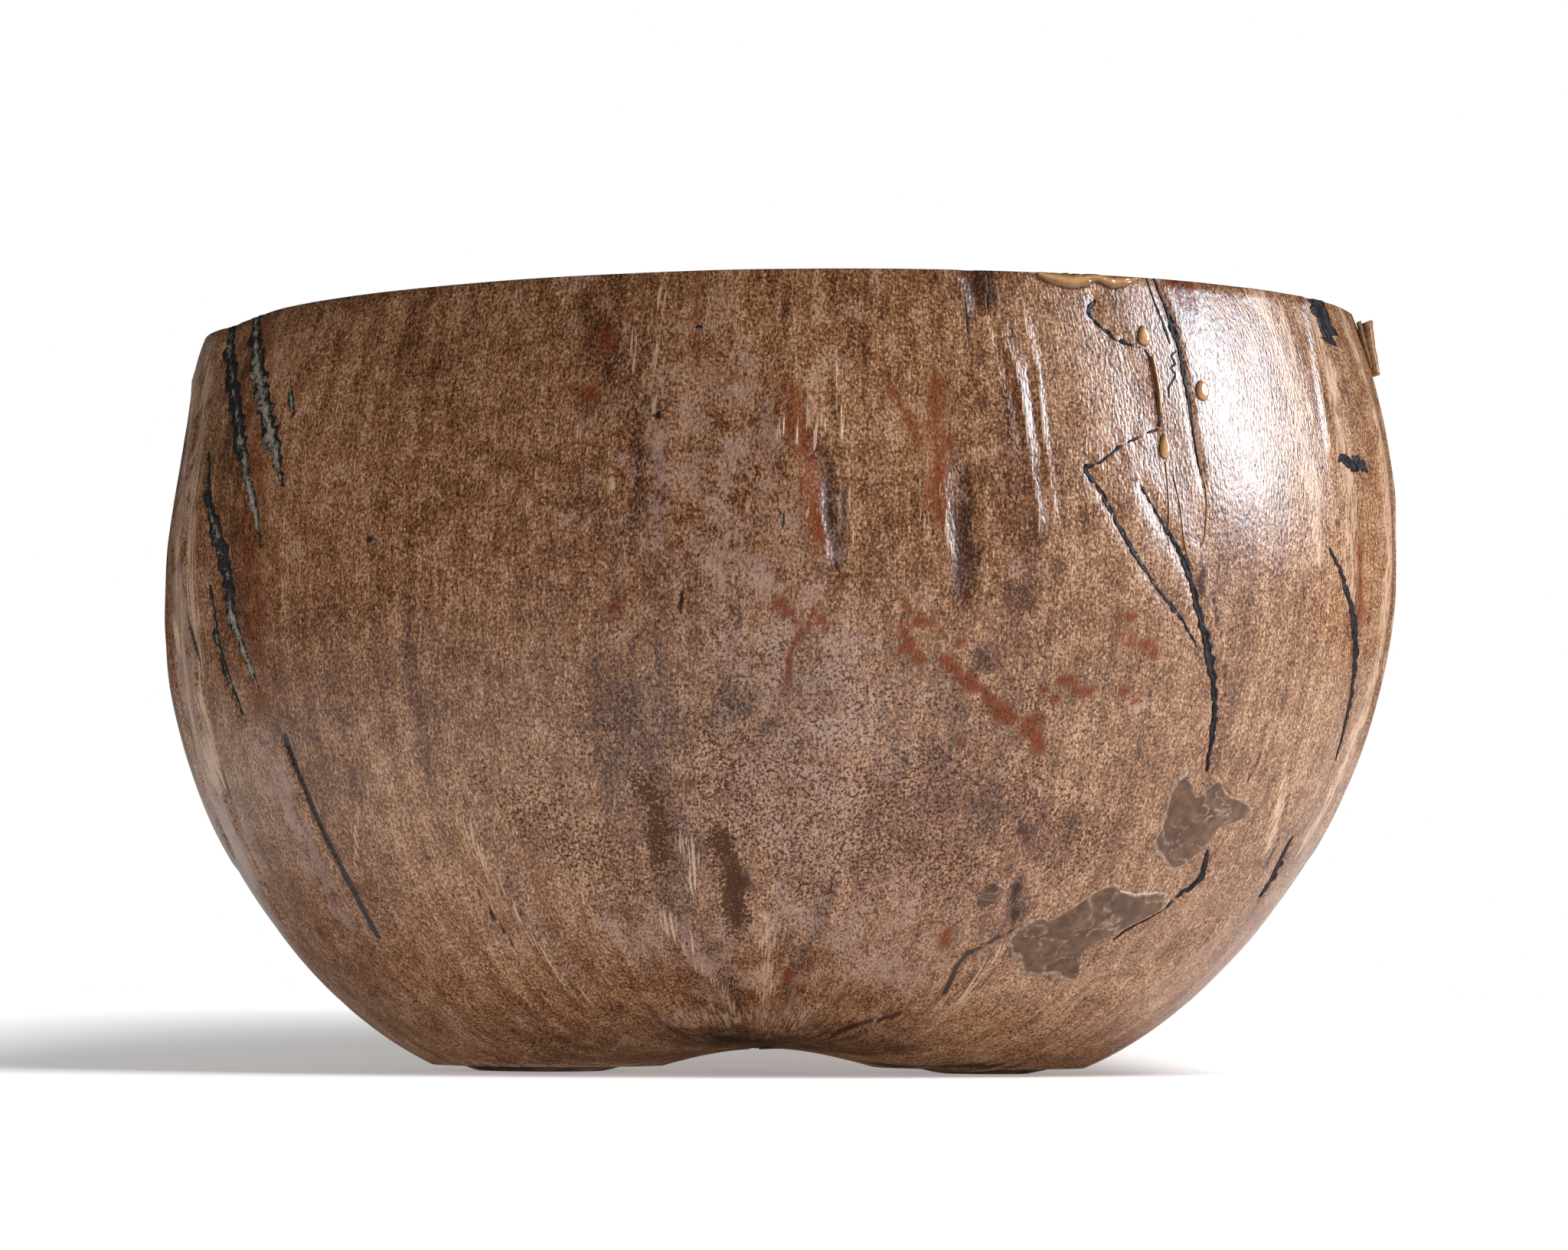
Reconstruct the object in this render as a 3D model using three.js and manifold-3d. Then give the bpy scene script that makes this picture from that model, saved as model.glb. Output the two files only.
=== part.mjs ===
// Coco de mer bowl: one double nut, sawn level above its girth, hollowed, and stood on its two lobes.
// Millimetres, +Z up, +X towards the right lobe, -Y towards the side that carries the mends.

import * as THREE from 'three';
import { mergeVertices } from 'three/addons/utils/BufferGeometryUtils.js';
import Module from 'manifold-3d';

const wasm = await Module();
wasm.setup();

// The nut, measured over its brown skin
const NUT_LENGTH = 268; // across both lobes
const NUT_DEPTH = 184; // front to back
const GIRTH_HEIGHT = 109; // the fullest girth above the table
const LOWER_DROP = 129; // from the girth down to where the nut would end without its cleft
const CROWN_RISE = 138; // from the girth up to the crown that was sawn off
const PLAN_FULLNESS = 1.9; // exponent of the plan outline: 2 is an ellipse, less draws the shoulders in
const LEAN = 0.03; // sideways shift for each millimetre of height
const CLEFT_LIFT = 25.3; // height of the groove between the lobes
const CLEFT_SHIFT = -2; // middle of the groove, from the middle of the bowl
const CLEFT_HALF_WIDTH = 49.8; // from the middle of the groove to where it has faded to a third
const CLEFT_FADE = 3; // how fast the groove dies out up the wall

// The saw cut at the rim
const RIM_HEIGHT = 162; // at the middle of the bowl
const RIM_SLOPE = 0.0119; // rise to the right for each millimetre

// The wall, from the outside in
const SKIN = 1.6; // brown skin
const BOND = 0.3; // seam between the skin and the hard shell
const WALL = 7.5; // hard shell
const FLOOR = 9; // least thickness left over the feet
const FLOOR_ROUNDING = 6; // how softly the hollow runs into its floor
const SKIN_FOOT_GAP = 1.2; // the skin stops this far above the table

// Mends
const FIT_GAP = 0.3; // between a mend and the skin round it
const FILL_CROWN = 0.15; // a fill stands this much higher along its middle
const PUTTY_CROWN = 0.7; // the same for a putty patch
const LACQUER_EDGE = 0.25; // thickness of a lacquer drop at its edge
const LACQUER_CROWN = 0.9; // and how much more it has in the middle
const SPLINTER_THICKNESS = 0.8;

// Fineness of the facets
const COLUMNS = 56; // round the nut
const ROWS = 28; // from its lowest point to its crown
const SPAN_STEPS = 2; // between two stations of a crack
const OUTLINE_STEPS = 3; // between two points of a patch
const BEAD_SIDES = 12;

// Places on the wall are bearings in degrees, -90 in front and 0 at the right end, with heights in percent
// of the rim's. A crack is a list of [bearing, height, half width in mm].

// Grey filler where the skin has split at the left end
const GREY_FILLS = {
  grey_fill_rim_inner: [[-152, 103, 1.6], [-147, 93, 2], [-144, 86, 1.8], [-138.2, 74.5, 0.6]],
  grey_fill_rim_outer: [[-160, 103, 1.4], [-152, 90.5, 1.8], [-146.7, 80, 1.8], [-141.5, 67.2, 0.6]],
  grey_fill_flank: [[-155.4, 81, 0.6], [-149.5, 69, 2], [-147.5, 58.5, 2], [-143.3, 49.5, 0.6]],
  grey_fill_flank_low: [[-152, 63, 0.6], [-151, 57, 1.5], [-148.4, 46, 0.6]],
  grey_fill_short: [[-139.9, 88, 0.5], [-139.2, 86, 1.2], [-138.4, 84, 0.5]],
};

// Black pitch in the cracks of the right half
const PITCH_FILLS = {
  pitch_fill_rim: [[-47.9, 103, 0.7], [-46.8, 95, 0.9], [-46.1, 85, 0.9], [-45.1, 75, 0.4]],
  pitch_fill_hook: [[-55.5, 97, 0.5], [-56.4, 95.5, 1.2], [-54.3, 92.7, 1.5], [-51.5, 91.3, 0.6]],
  pitch_fill_bent: [[-50.5, 80.9, 0.4], [-53.8, 78.9, 0.6], [-57.4, 76.4, 0.7], [-58.2, 75.3, 0.7],
    [-57.3, 73.7, 0.8], [-52.6, 64.4, 0.9], [-48.4, 59.2, 0.7], [-45.4, 55.3, 0.4]],
  pitch_fill_long: [[-52.7, 75.2, 0.5], [-50.6, 70.5, 1.4], [-47.6, 65, 1.6], [-45.2, 58.5, 1.2],
    [-43, 52.6, 1.3], [-40.5, 45.5, 1], [-39.2, 40, 0.4]],
  pitch_fill_far_right: [[-25.8, 68, 0.4], [-22, 62, 1.2], [-18, 55, 1.6], [-15, 45.6, 1.2], [-13.9, 41, 0.4]],
  pitch_fill_by_patch: [[-33.4, 29.2, 0.4], [-32.7, 27, 0.8], [-32.1, 24.8, 0.8], [-34.5, 23.4, 0.4]],
  pitch_fill_edge: [[-16.6, 31, 0.4], [-16.2, 27.3, 1], [-15, 23.5, 0.4]],
  pitch_patch_rim: [[-19.5, 103, 2.2], [-18.8, 98, 2.2], [-18.7, 95.3, 1.2]],
  pitch_patch_flank: [[-23.2, 79.1, 0.5], [-19.8, 79.2, 1.8], [-16.3, 78.6, 0.5]],
};

// Cracks that were left open
const OPEN_CRACKS = [
  [[-140.1, 42.7, 0.4], [-138.2, 32, 1.6], [-137.5, 24, 1.4], [-138.7, 17.9, 0.4]],
  [[-119.3, 22.3, 0.35], [-118.7, 20, 0.9], [-118, 17.6, 0.35]],
];

// Outlines of the putty patches, as [bearing, height]
const PUTTY_PATCHES = {
  putty_patch_upper: [[-42.5, 38], [-39.6, 35.9], [-37, 37.4], [-32.6, 36.3], [-29.8, 33.6], [-32, 32.2],
    [-34.6, 30.2], [-35, 27], [-37.7, 26], [-41.5, 27.8], [-43.7, 30.8], [-43.6, 34.2]],
  putty_patch_lower: [[-56.9, 17.8], [-55, 20.3], [-50.3, 21.9], [-46, 25.2], [-42, 24], [-36.4, 22.9],
    [-39.2, 19.2], [-44.1, 16.6], [-43.2, 12.8], [-47, 12.9], [-53, 14.7]],
  putty_patch_small: [[-62.2, 22], [-61.6, 23.8], [-60, 24.1], [-60.2, 22.6], [-61.3, 21.4]],
};

// Lacquer that ran and set: trails are cracks' lists, beads are [bearing, height, half width, half height]
const LACQUER_TRAILS = {
  lacquer_run_rim: [[-61.7, 99.8, 0.5], [-58.5, 99, 1.9], [-55.1, 99.7, 1], [-52.9, 99, 1.9], [-49.7, 99.9, 0.5]],
  lacquer_trail: [[-50.2, 90.2, 0.9], [-49.9, 87, 0.5], [-49.8, 83, 0.7]],
};
const LACQUER_BEADS = {
  lacquer_bead_upper: [-50.7, 92.4, 1.6, 1.8],
  lacquer_bead_middle: [-44.4, 86.3, 1.5, 2.3],
  lacquer_bead_lower: [-49.9, 78.2, 1.2, 1.4],
};

// Sliver of skin that has sprung off at the right end of the rim
const SPLINTER = [[-3.5, 99.5, 2.6], [-4, 96.5, 2.2], [-4.5, 93, 0.6]];

const finishes = {
  hardShell: { color: 0x3b2a20, roughness: 0.6 },
  brownSkin: { color: 0x7c573f, roughness: 0.42 },
  greyFill: { color: 0x6a625c, roughness: 0.7 },
  pitch: { color: 0x17100d, roughness: 0.3 },
  putty: { color: 0x9c775c, roughness: 0.55 },
  lacquer: { color: 0x7d4a20, roughness: 0.12 },
};

/** Makes a cutting and joining solid from a closed geometry. */
function toSolid(geometry) {
  geometry.deleteAttribute('normal');
  geometry.deleteAttribute('uv');
  const merged = mergeVertices(geometry, 1e-4);
  const mesh = new wasm.Mesh({
    numProp: 3,
    vertProperties: new Float32Array(merged.attributes.position.array),
    triVerts: new Uint32Array(merged.index.array),
  });
  return new wasm.Manifold(mesh);
}

/** Gives a solid back as a geometry. */
function toGeometry(solid) {
  const mesh = solid.getMesh();
  const geometry = new THREE.BufferGeometry();
  geometry.setAttribute('position', new THREE.BufferAttribute(new Float32Array(mesh.vertProperties), 3));
  geometry.setIndex(new THREE.BufferAttribute(new Uint32Array(mesh.triVerts), 1));
  geometry.computeVertexNormals();
  return geometry;
}

/** Makes a geometry from a list of points and a list of triangle corners. */
function meshOf(points, corners) {
  const geometry = new THREE.BufferGeometry().setFromPoints(points);
  geometry.setIndex(corners);
  return geometry;
}

/** Point of the nut at a bearing and a latitude, in radians, on the layer that lies inset under the skin. */
function nutPoint(bearing, latitude, inset) {
  const cos = Math.cos(bearing);
  const sin = Math.sin(bearing);
  const reach = (Math.abs(cos) ** PLAN_FULLNESS + Math.abs(sin) ** PLAN_FULLNESS) ** (-1 / PLAN_FULLNESS);
  const girth = Math.cos(latitude) * reach;
  const halfHeight = latitude < 0 ? LOWER_DROP : CROWN_RISE;
  const level = (halfHeight - inset) * Math.sin(latitude);
  const x = (NUT_LENGTH / 2 - inset) * girth * cos + LEAN * level;
  const y = (NUT_DEPTH / 2 - inset) * girth * sin;
  const depth = Math.max(-Math.sin(latitude), 0);
  const offGroove = (x - CLEFT_SHIFT) / CLEFT_HALF_WIDTH;
  const lift = CLEFT_LIFT * Math.exp(-(offGroove ** 2)) * depth ** CLEFT_FADE;
  return new THREE.Vector3(x, y, GIRTH_HEIGHT + level + lift);
}

/** Closed body swept out by a point function of bearing and latitude, from the lowest pole to the crown. */
function closedBody(pointAt) {
  const points = [];
  const corners = [];
  for (let row = 1; row < ROWS; row += 1) {
    for (let column = 0; column < COLUMNS; column += 1) {
      const bearing = (2 * Math.PI * column) / COLUMNS;
      points.push(pointAt(bearing, -Math.PI / 2 + (Math.PI * row) / ROWS));
    }
  }
  const bottom = points.push(pointAt(0, -Math.PI / 2)) - 1;
  const crown = points.push(pointAt(0, Math.PI / 2)) - 1;
  for (let column = 0; column < COLUMNS; column += 1) {
    const next = (column + 1) % COLUMNS;
    corners.push(bottom, next, column);
    for (let row = 0; row < ROWS - 2; row += 1) {
      const low = row * COLUMNS;
      const high = low + COLUMNS;
      corners.push(low + column, low + next, high + next);
      corners.push(low + column, high + next, high + column);
    }
    const last = (ROWS - 2) * COLUMNS;
    corners.push(last + column, last + next, crown);
  }
  return toSolid(meshOf(points, corners));
}

/** Solid nut inside the layer that lies inset under the skin. */
function nutBody(inset) {
  return closedBody((bearing, latitude) => nutPoint(bearing, latitude, inset));
}

/** Hollow of the bowl: the inner layer of the nut, raised softly where it would come too near the feet. */
function hollowBody() {
  return closedBody((bearing, latitude) => {
    const point = nutPoint(bearing, latitude, SKIN + BOND + WALL);
    const above = point.z - FLOOR;
    point.z = FLOOR + (above + Math.hypot(above, FLOOR_ROUNDING)) / 2;
    return point;
  });
}

/** Block that takes away everything above the saw cut. */
function aboveRim() {
  const size = 4 * NUT_LENGTH;
  const block = new THREE.BoxGeometry(size, size, size);
  block.translate(0, 0, size / 2);
  block.rotateY(-Math.atan(RIM_SLOPE));
  block.translate(0, 0, RIM_HEIGHT);
  return toSolid(block);
}

/** Block that takes away everything below a level. */
function below(level) {
  const size = 4 * NUT_LENGTH;
  const block = new THREE.BoxGeometry(size, size, size);
  block.translate(0, 0, level - size / 2);
  return toSolid(block);
}

/** Seat on the skin at a bearing in degrees and a height in percent of the rim's: its point and normal. */
function seat(bearing, height) {
  const turn = THREE.MathUtils.degToRad(bearing);
  const level = (height / 100) * RIM_HEIGHT;
  let low = -Math.PI / 2;
  let high = Math.PI / 2;
  for (let halving = 0; halving < 40; halving += 1) {
    const middle = (low + high) / 2;
    if (nutPoint(turn, middle, 0).z < level) low = middle;
    else high = middle;
  }
  const step = 1e-3;
  const point = nutPoint(turn, low, 0);
  const along = nutPoint(turn + step, low, 0).sub(nutPoint(turn - step, low, 0));
  const up = nutPoint(turn, low + step, 0).sub(nutPoint(turn, low - step, 0));
  return { point, normal: along.clone().cross(up).normalize(), perDegree: along.length() / step / 2 };
}

/** Bar that follows the skin along the stations of a crack, from one depth to another, tapered as they say. */
function crackBar(stations, { lower, upper, crown, grow }) {
  const guide = new THREE.CatmullRomCurve3(stations.map((station) => new THREE.Vector3(...station)));
  const places = guide.getPoints((stations.length - 1) * SPAN_STEPS);
  const seats = places.map((place) => seat(place.x, place.y));
  const last = seats.length - 1;
  const points = [];
  const corners = [];
  seats.forEach(({ point, normal }, index) => {
    const before = seats[Math.max(index - 1, 0)].point;
    const after = seats[Math.min(index + 1, last)].point;
    const ahead = after.clone().sub(before).normalize();
    const across = ahead.clone().cross(normal).normalize();
    const reach = index === 0 ? -grow : index === last ? grow : 0;
    const middle = point.clone().addScaledVector(ahead, reach);
    const half = places[index].z + grow;
    const section = [[-half, lower], [half, lower], [half, upper], [0, upper + crown], [-half, upper]];
    for (const [side, height] of section) {
      points.push(middle.clone().addScaledVector(across, side).addScaledVector(normal, height));
    }
  });
  const sides = points.length / seats.length;
  for (let side = 0; side < sides; side += 1) {
    const next = (side + 1) % sides;
    for (let ring = 0; ring < last; ring += 1) {
      const near = ring * sides;
      const far = near + sides;
      corners.push(near + side, far + side, far + next);
      corners.push(near + side, far + next, near + next);
    }
  }
  for (let side = 1; side < sides - 1; side += 1) {
    corners.push(0, side, side + 1);
    corners.push(last * sides, last * sides + side + 1, last * sides + side);
  }
  return toSolid(meshOf(points, corners));
}

/** Plate that follows the skin inside a closed outline, domed towards its middle. */
function skinPlate(outline, { lower, upper, crown, grow }) {
  const middle = new THREE.Vector2();
  outline.forEach(([bearing, height]) => middle.add(new THREE.Vector2(bearing, height)));
  middle.divideScalar(outline.length);
  const across = seat(middle.x, middle.y).perDegree * (Math.PI / 180);
  const upward = RIM_HEIGHT / 100;
  const flat = outline.map(([bearing, height]) => new THREE.Vector2(
    (bearing - middle.x) * across, (height - middle.y) * upward));
  if (THREE.ShapeUtils.area(flat) < 0) flat.reverse();
  const loop = new THREE.CatmullRomCurve3(flat.map(({ x, y }) => new THREE.Vector3(x, y, 0)), true);
  const count = flat.length * OUTLINE_STEPS;
  const edge = Array.from({ length: count }, (_, index) => {
    const ahead = loop.getTangent(index / count);
    return loop.getPoint(index / count).add(new THREE.Vector3(ahead.y, -ahead.x, 0).multiplyScalar(grow));
  });
  const place = (spot, height) => {
    const { point, normal } = seat(middle.x + spot.x / across, middle.y + spot.y / upward);
    return point.addScaledVector(normal, height);
  };
  const ring = (share, height) => edge.map((spot) => place(spot.clone().multiplyScalar(share), height));
  const inner = 0.6;
  const points = [
    ...ring(inner, upper + crown * (1 - inner ** 2)), ...ring(1, upper), ...ring(1, lower), ...ring(inner, lower),
    place(new THREE.Vector3(), upper + crown), place(new THREE.Vector3(), lower),
  ];
  const corners = [];
  const top = points.length - 2;
  for (let index = 0; index < count; index += 1) {
    const next = (index + 1) % count;
    corners.push(top, index, next);
    for (let band = 0; band < 3; band += 1) {
      const near = band * count;
      const far = near + count;
      corners.push(near + index, far + index, far + next);
      corners.push(near + index, far + next, near + next);
    }
    corners.push(top + 1, 3 * count + next, 3 * count + index);
  }
  return toSolid(meshOf(points, corners));
}

/** Oval outline round a seat, as bearings and heights. */
function ovalOutline([bearing, height, halfWidth, halfHeight]) {
  const across = seat(bearing, height).perDegree * (Math.PI / 180);
  return Array.from({ length: BEAD_SIDES / OUTLINE_STEPS }, (_, index) => {
    const turn = (2 * Math.PI * index * OUTLINE_STEPS) / BEAD_SIDES;
    const side = (halfWidth * Math.cos(turn)) / across;
    return [bearing + side, height + (100 * halfHeight * Math.sin(turn)) / RIM_HEIGHT];
  });
}

const bowl = new THREE.Group();

/** Adds one named piece to the bowl. */
function addPiece(name, solid, finish) {
  const piece = new THREE.Mesh(toGeometry(solid), new THREE.MeshStandardMaterial(finish));
  piece.name = name;
  bowl.add(piece);
}

const sawnOff = aboveRim();
const sunkIn = { lower: -SKIN, upper: 0, grow: 0 };
const pocket = { lower: -2 * SKIN, upper: 2 * SKIN, crown: 0, grow: FIT_GAP };
const onSkin = { lower: BOND, upper: BOND + LACQUER_EDGE, crown: LACQUER_CROWN, grow: 0 };

// The hard shell carries everything and stands on the table
const hardShell = nutBody(SKIN + BOND).subtract(hollowBody()).subtract(sawnOff).subtract(below(0));
addPiece('hard_shell', hardShell, finishes.hardShell);

// The brown skin wraps it and is open at every crack and patch
let brownSkin = nutBody(0).subtract(nutBody(SKIN)).subtract(sawnOff).subtract(below(SKIN_FOOT_GAP));
for (const crack of [...Object.values(GREY_FILLS), ...Object.values(PITCH_FILLS), ...OPEN_CRACKS]) {
  brownSkin = brownSkin.subtract(crackBar(crack, pocket));
}
for (const outline of Object.values(PUTTY_PATCHES)) {
  brownSkin = brownSkin.subtract(skinPlate(outline, pocket));
}
addPiece('brown_skin', brownSkin, finishes.brownSkin);

for (const [name, crack] of Object.entries(GREY_FILLS)) {
  addPiece(name, crackBar(crack, { ...sunkIn, crown: FILL_CROWN }).subtract(sawnOff), finishes.greyFill);
}
for (const [name, crack] of Object.entries(PITCH_FILLS)) {
  addPiece(name, crackBar(crack, { ...sunkIn, crown: FILL_CROWN }).subtract(sawnOff), finishes.pitch);
}
for (const [name, outline] of Object.entries(PUTTY_PATCHES)) {
  addPiece(name, skinPlate(outline, { ...sunkIn, crown: PUTTY_CROWN }), finishes.putty);
}
for (const [name, trail] of Object.entries(LACQUER_TRAILS)) {
  addPiece(name, crackBar(trail, onSkin).subtract(sawnOff), finishes.lacquer);
}
for (const [name, bead] of Object.entries(LACQUER_BEADS)) {
  addPiece(name, skinPlate(ovalOutline(bead), onSkin), finishes.lacquer);
}
const sliver = crackBar(SPLINTER, { lower: BOND, upper: BOND + SPLINTER_THICKNESS, crown: 0, grow: 0 });
addPiece('rim_splinter', sliver.subtract(sawnOff), finishes.brownSkin);

// The origin lies on the table, under the middle of the bowl
const middle = new THREE.Box3().setFromObject(bowl).getCenter(new THREE.Vector3());
bowl.position.set(-middle.x, -middle.y, 0);

export default bowl;
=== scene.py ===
"""Coco de mer bowl: a double nut, sawn level, hollowed and stood on its two lobes, with its cracks mended.

Sizes are millimetres. A place on the nut is a bearing in degrees, -90 in front and 0 at the right end, with a
height in percent of the rim's. Every surface is a numpy formula on a grid, put into the mesh as whole arrays.
"""

import logging
from dataclasses import dataclass
from enum import Enum
from math import cos, pi, radians, sin

import bmesh
import bpy
import numpy as np
from mathutils import Matrix, Vector


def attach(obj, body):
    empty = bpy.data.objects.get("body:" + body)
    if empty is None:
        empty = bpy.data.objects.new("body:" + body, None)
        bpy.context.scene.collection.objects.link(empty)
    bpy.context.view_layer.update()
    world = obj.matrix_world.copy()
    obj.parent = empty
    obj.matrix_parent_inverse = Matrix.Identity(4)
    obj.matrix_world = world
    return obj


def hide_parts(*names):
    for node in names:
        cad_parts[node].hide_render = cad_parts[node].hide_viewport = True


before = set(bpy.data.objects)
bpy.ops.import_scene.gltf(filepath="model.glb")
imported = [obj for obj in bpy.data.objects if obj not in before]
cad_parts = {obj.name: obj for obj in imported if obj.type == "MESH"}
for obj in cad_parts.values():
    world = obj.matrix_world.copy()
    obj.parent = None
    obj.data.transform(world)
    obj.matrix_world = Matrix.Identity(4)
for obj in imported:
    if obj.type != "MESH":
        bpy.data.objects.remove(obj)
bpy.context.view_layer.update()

Array = np.ndarray
Path = tuple[tuple[float, ...], ...]

MM = 0.001
BODY = "root"

log = logging.getLogger("coco_de_mer_bowl")


# Small tools


def linear(code: str) -> tuple[float, float, float, float]:
    """Turns an sRGB hex colour into the linear colour that a shader takes.

    Args:
        code: A hash sign and six hex digits.

    Returns:
        Linear red, green and blue, with an alpha of one.
    """
    parts = np.array([int(code[start:start + 2], 16) for start in (1, 3, 5)]) / 255.0
    light = np.where(parts <= 0.04045, parts / 12.92, ((parts + 0.055) / 1.055) ** 2.4)
    return (*light.tolist(), 1.0)


def add(
    tree: bpy.types.NodeTree,
    kind: str,
    links: dict | None = None,
    stops: tuple[tuple[float, str], ...] = (),
    **settings: object,
) -> bpy.types.Node:
    """Adds a shader node with its settings and links.

    Args:
        tree: The material's node tree.
        kind: The node's type, without its common prefix.
        links: For each input, by name or number, a socket to link or a value to set.
        stops: Places and colours of a colour ramp.
        settings: The node's own properties.

    Returns:
        The new node.
    """
    node = tree.nodes.new("ShaderNode" + kind)
    for name, value in settings.items():
        setattr(node, name, value)
    for socket, value in (links or {}).items():
        if isinstance(value, bpy.types.NodeSocket):
            tree.links.new(value, node.inputs[socket])
        else:
            node.inputs[socket].default_value = value
    for number, (place, code) in enumerate(stops):
        elements = node.color_ramp.elements
        element = elements[number] if number < 2 else elements.new(place)
        element.position = place
        element.color = linear(code)
    return node


def blank_material(name: str) -> tuple[bpy.types.Material, bpy.types.NodeTree]:
    """Makes a material with an empty node tree, and returns both."""
    material = bpy.data.materials.new(name)
    material.use_nodes = True
    material.node_tree.nodes.clear()
    return material, material.node_tree


def ease(low: float, high: float, value: Array) -> Array:
    """Rises from 0 at low to 1 at high along 3t² - 2t³."""
    t = np.clip((value - low) / (high - low), 0.0, 1.0)
    return t * t * (3.0 - 2.0 * t)


def lattice(across: Array, up: Array, seed: int) -> Array:
    """Gives each lattice corner its own number from 0 to 1: the fraction of a large sine of its indices."""
    wave = np.sin(across * 127.1 + up * 311.7 + seed * 74.7) * 43758.5453
    return wave - np.floor(wave)


def ripple(across: Array, up: Array, seed: int, octaves: int = 1) -> Array:
    """Smooth noise of about -1 to 1, one bump to each unit, each further octave half as wide and high.

    Args:
        across: First coordinate.
        up: Second coordinate.
        seed: Picks the pattern.
        octaves: How many layers are summed.

    Returns:
        The four corner numbers of each lattice cell, eased into each other by 3t² - 2t³.
    """
    total = np.zeros(np.broadcast(across, up).shape)
    for octave in range(octaves):
        size = 2.0 ** octave
        u = across * size
        v = up * size
        column = np.floor(u)
        row = np.floor(v)
        right = ease(0.0, 1.0, u - column)
        top = ease(0.0, 1.0, v - row)
        low = lattice(column, row, seed + octave) * (1 - right)
        low = low + lattice(column + 1, row, seed + octave) * right
        high = lattice(column, row + 1, seed + octave) * (1 - right)
        high = high + lattice(column + 1, row + 1, seed + octave) * right
        total = total + (low * (1 - top) + high * top - 0.5) * 2.0 / size
    return total


def spline(stations: Path, steps: int, closed: bool = False) -> Array:
    """Smooth curve through stations, each span a cubic whose end slopes are half the chord of its neighbours.

    Args:
        stations: Points of any number of coordinates.
        steps: Points for each span.
        closed: Whether the last station leads back to the first.

    Returns:
        The points of the curve, one row each.
    """
    given = np.array(stations, dtype=float)
    if closed:
        padded = np.concatenate([given[-1:], given, given[:2]])
    else:
        padded = np.concatenate([given[:1], given, given[-1:]])
    start, left, right, end = padded[:-3], padded[1:-2], padded[2:-1], padded[3:]
    t = (np.arange(steps) / steps)[None, :, None]
    start, left, right, end = (row[:, None, :] for row in (start, left, right, end))
    curve = 0.5 * (
        2 * left + (right - start) * t + (2 * start - 5 * left + 4 * right - end) * t ** 2
        + (3 * left - start - 3 * right + end) * t ** 3
    )
    points = curve.reshape(-1, given.shape[1])
    return points if closed else np.concatenate([points, given[-1:]])


def ring_stack(rings: Array, first: Array, last: Array) -> tuple[Array, list[list[int]]]:
    """Closed surface through stacked rings that is drawn together to one point at either end.

    Args:
        rings: Points, as ring by side by coordinate.
        first: Point that closes the first ring.
        last: Point that closes the last ring.

    Returns:
        All points, and the corners of all faces: a quad between each two sides of each two rings, and fans.
    """
    count, sides = rings.shape[:2]
    points = np.concatenate([rings.reshape(-1, 3), first[None], last[None]])
    here = np.arange(count * sides).reshape(count, sides)
    there = np.roll(here, -1, axis=1)
    quads = np.stack([here[:-1], there[:-1], there[1:], here[1:]], axis=-1).reshape(-1, 4)
    ends = np.full(sides, count * sides)
    bottom = np.stack([ends, there[0], here[0]], axis=-1)
    top = np.stack([ends + 1, here[-1], there[-1]], axis=-1)
    return points, quads.tolist() + bottom.tolist() + top.tolist()


def make_piece(
    name: str, points: Array, faces: list[list[int]], attributes: dict[str, Array] | None = None
) -> bpy.types.Object:
    """Makes a smooth-shaded object from points in millimetres.

    Args:
        name: Name of the piece.
        points: One row for each point.
        faces: Corners of each face.
        attributes: Values for each point, with 1, 3 or 4 numbers, by attribute name.

    Returns:
        The new object, at the origin, riding on the bowl's body.
    """
    mesh = bpy.data.meshes.new(name)
    mesh.from_pydata((points * MM).tolist(), [], faces)
    kinds = {1: ("FLOAT", "value"), 3: ("FLOAT_VECTOR", "vector"), 4: ("FLOAT_COLOR", "color")}
    for label, values in (attributes or {}).items():
        width = 1 if values.ndim == 1 else values.shape[1]
        kind, field = kinds[width]
        layer = mesh.attributes.new(label, kind, "POINT")
        layer.data.foreach_set(field, np.ascontiguousarray(values, dtype=np.float32).ravel())
    mesh.shade_smooth()
    mesh.update()
    piece = bpy.data.objects.new(name, mesh)
    bpy.context.scene.collection.objects.link(piece)
    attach(piece, BODY)
    return piece


def turn_outwards(piece: bpy.types.Object) -> None:
    """Makes the faces of a closed piece point outwards."""
    work = bmesh.new()
    work.from_mesh(piece.data)
    bmesh.ops.recalc_face_normals(work, faces=work.faces)
    work.to_mesh(piece.data)
    work.free()


def cut_level(piece: bpy.types.Object, level: float, crease: float) -> None:
    """Cuts a closed piece off below a level and closes the cut with a flat face.

    Args:
        piece: The piece to cut.
        level: Height of the cut in millimetres.
        crease: Edges that turn by more than this, in degrees, are shaded sharp.
    """
    work = bmesh.new()
    work.from_mesh(piece.data)
    everything = [*work.verts, *work.edges, *work.faces]
    height = (0.0, 0.0, level * MM)
    cut = bmesh.ops.bisect_plane(work, geom=everything, plane_co=height, plane_no=(0, 0, 1), clear_inner=True)
    edges = [part for part in cut["geom_cut"] if isinstance(part, bmesh.types.BMEdge)]
    bmesh.ops.triangle_fill(work, use_beauty=True, edges=edges, normal=(0, 0, -1))
    work.to_mesh(piece.data)
    work.free()
    piece.data.shade_smooth()
    piece.data.set_sharp_from_angle(angle=radians(crease))


# The form of the nut


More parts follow.
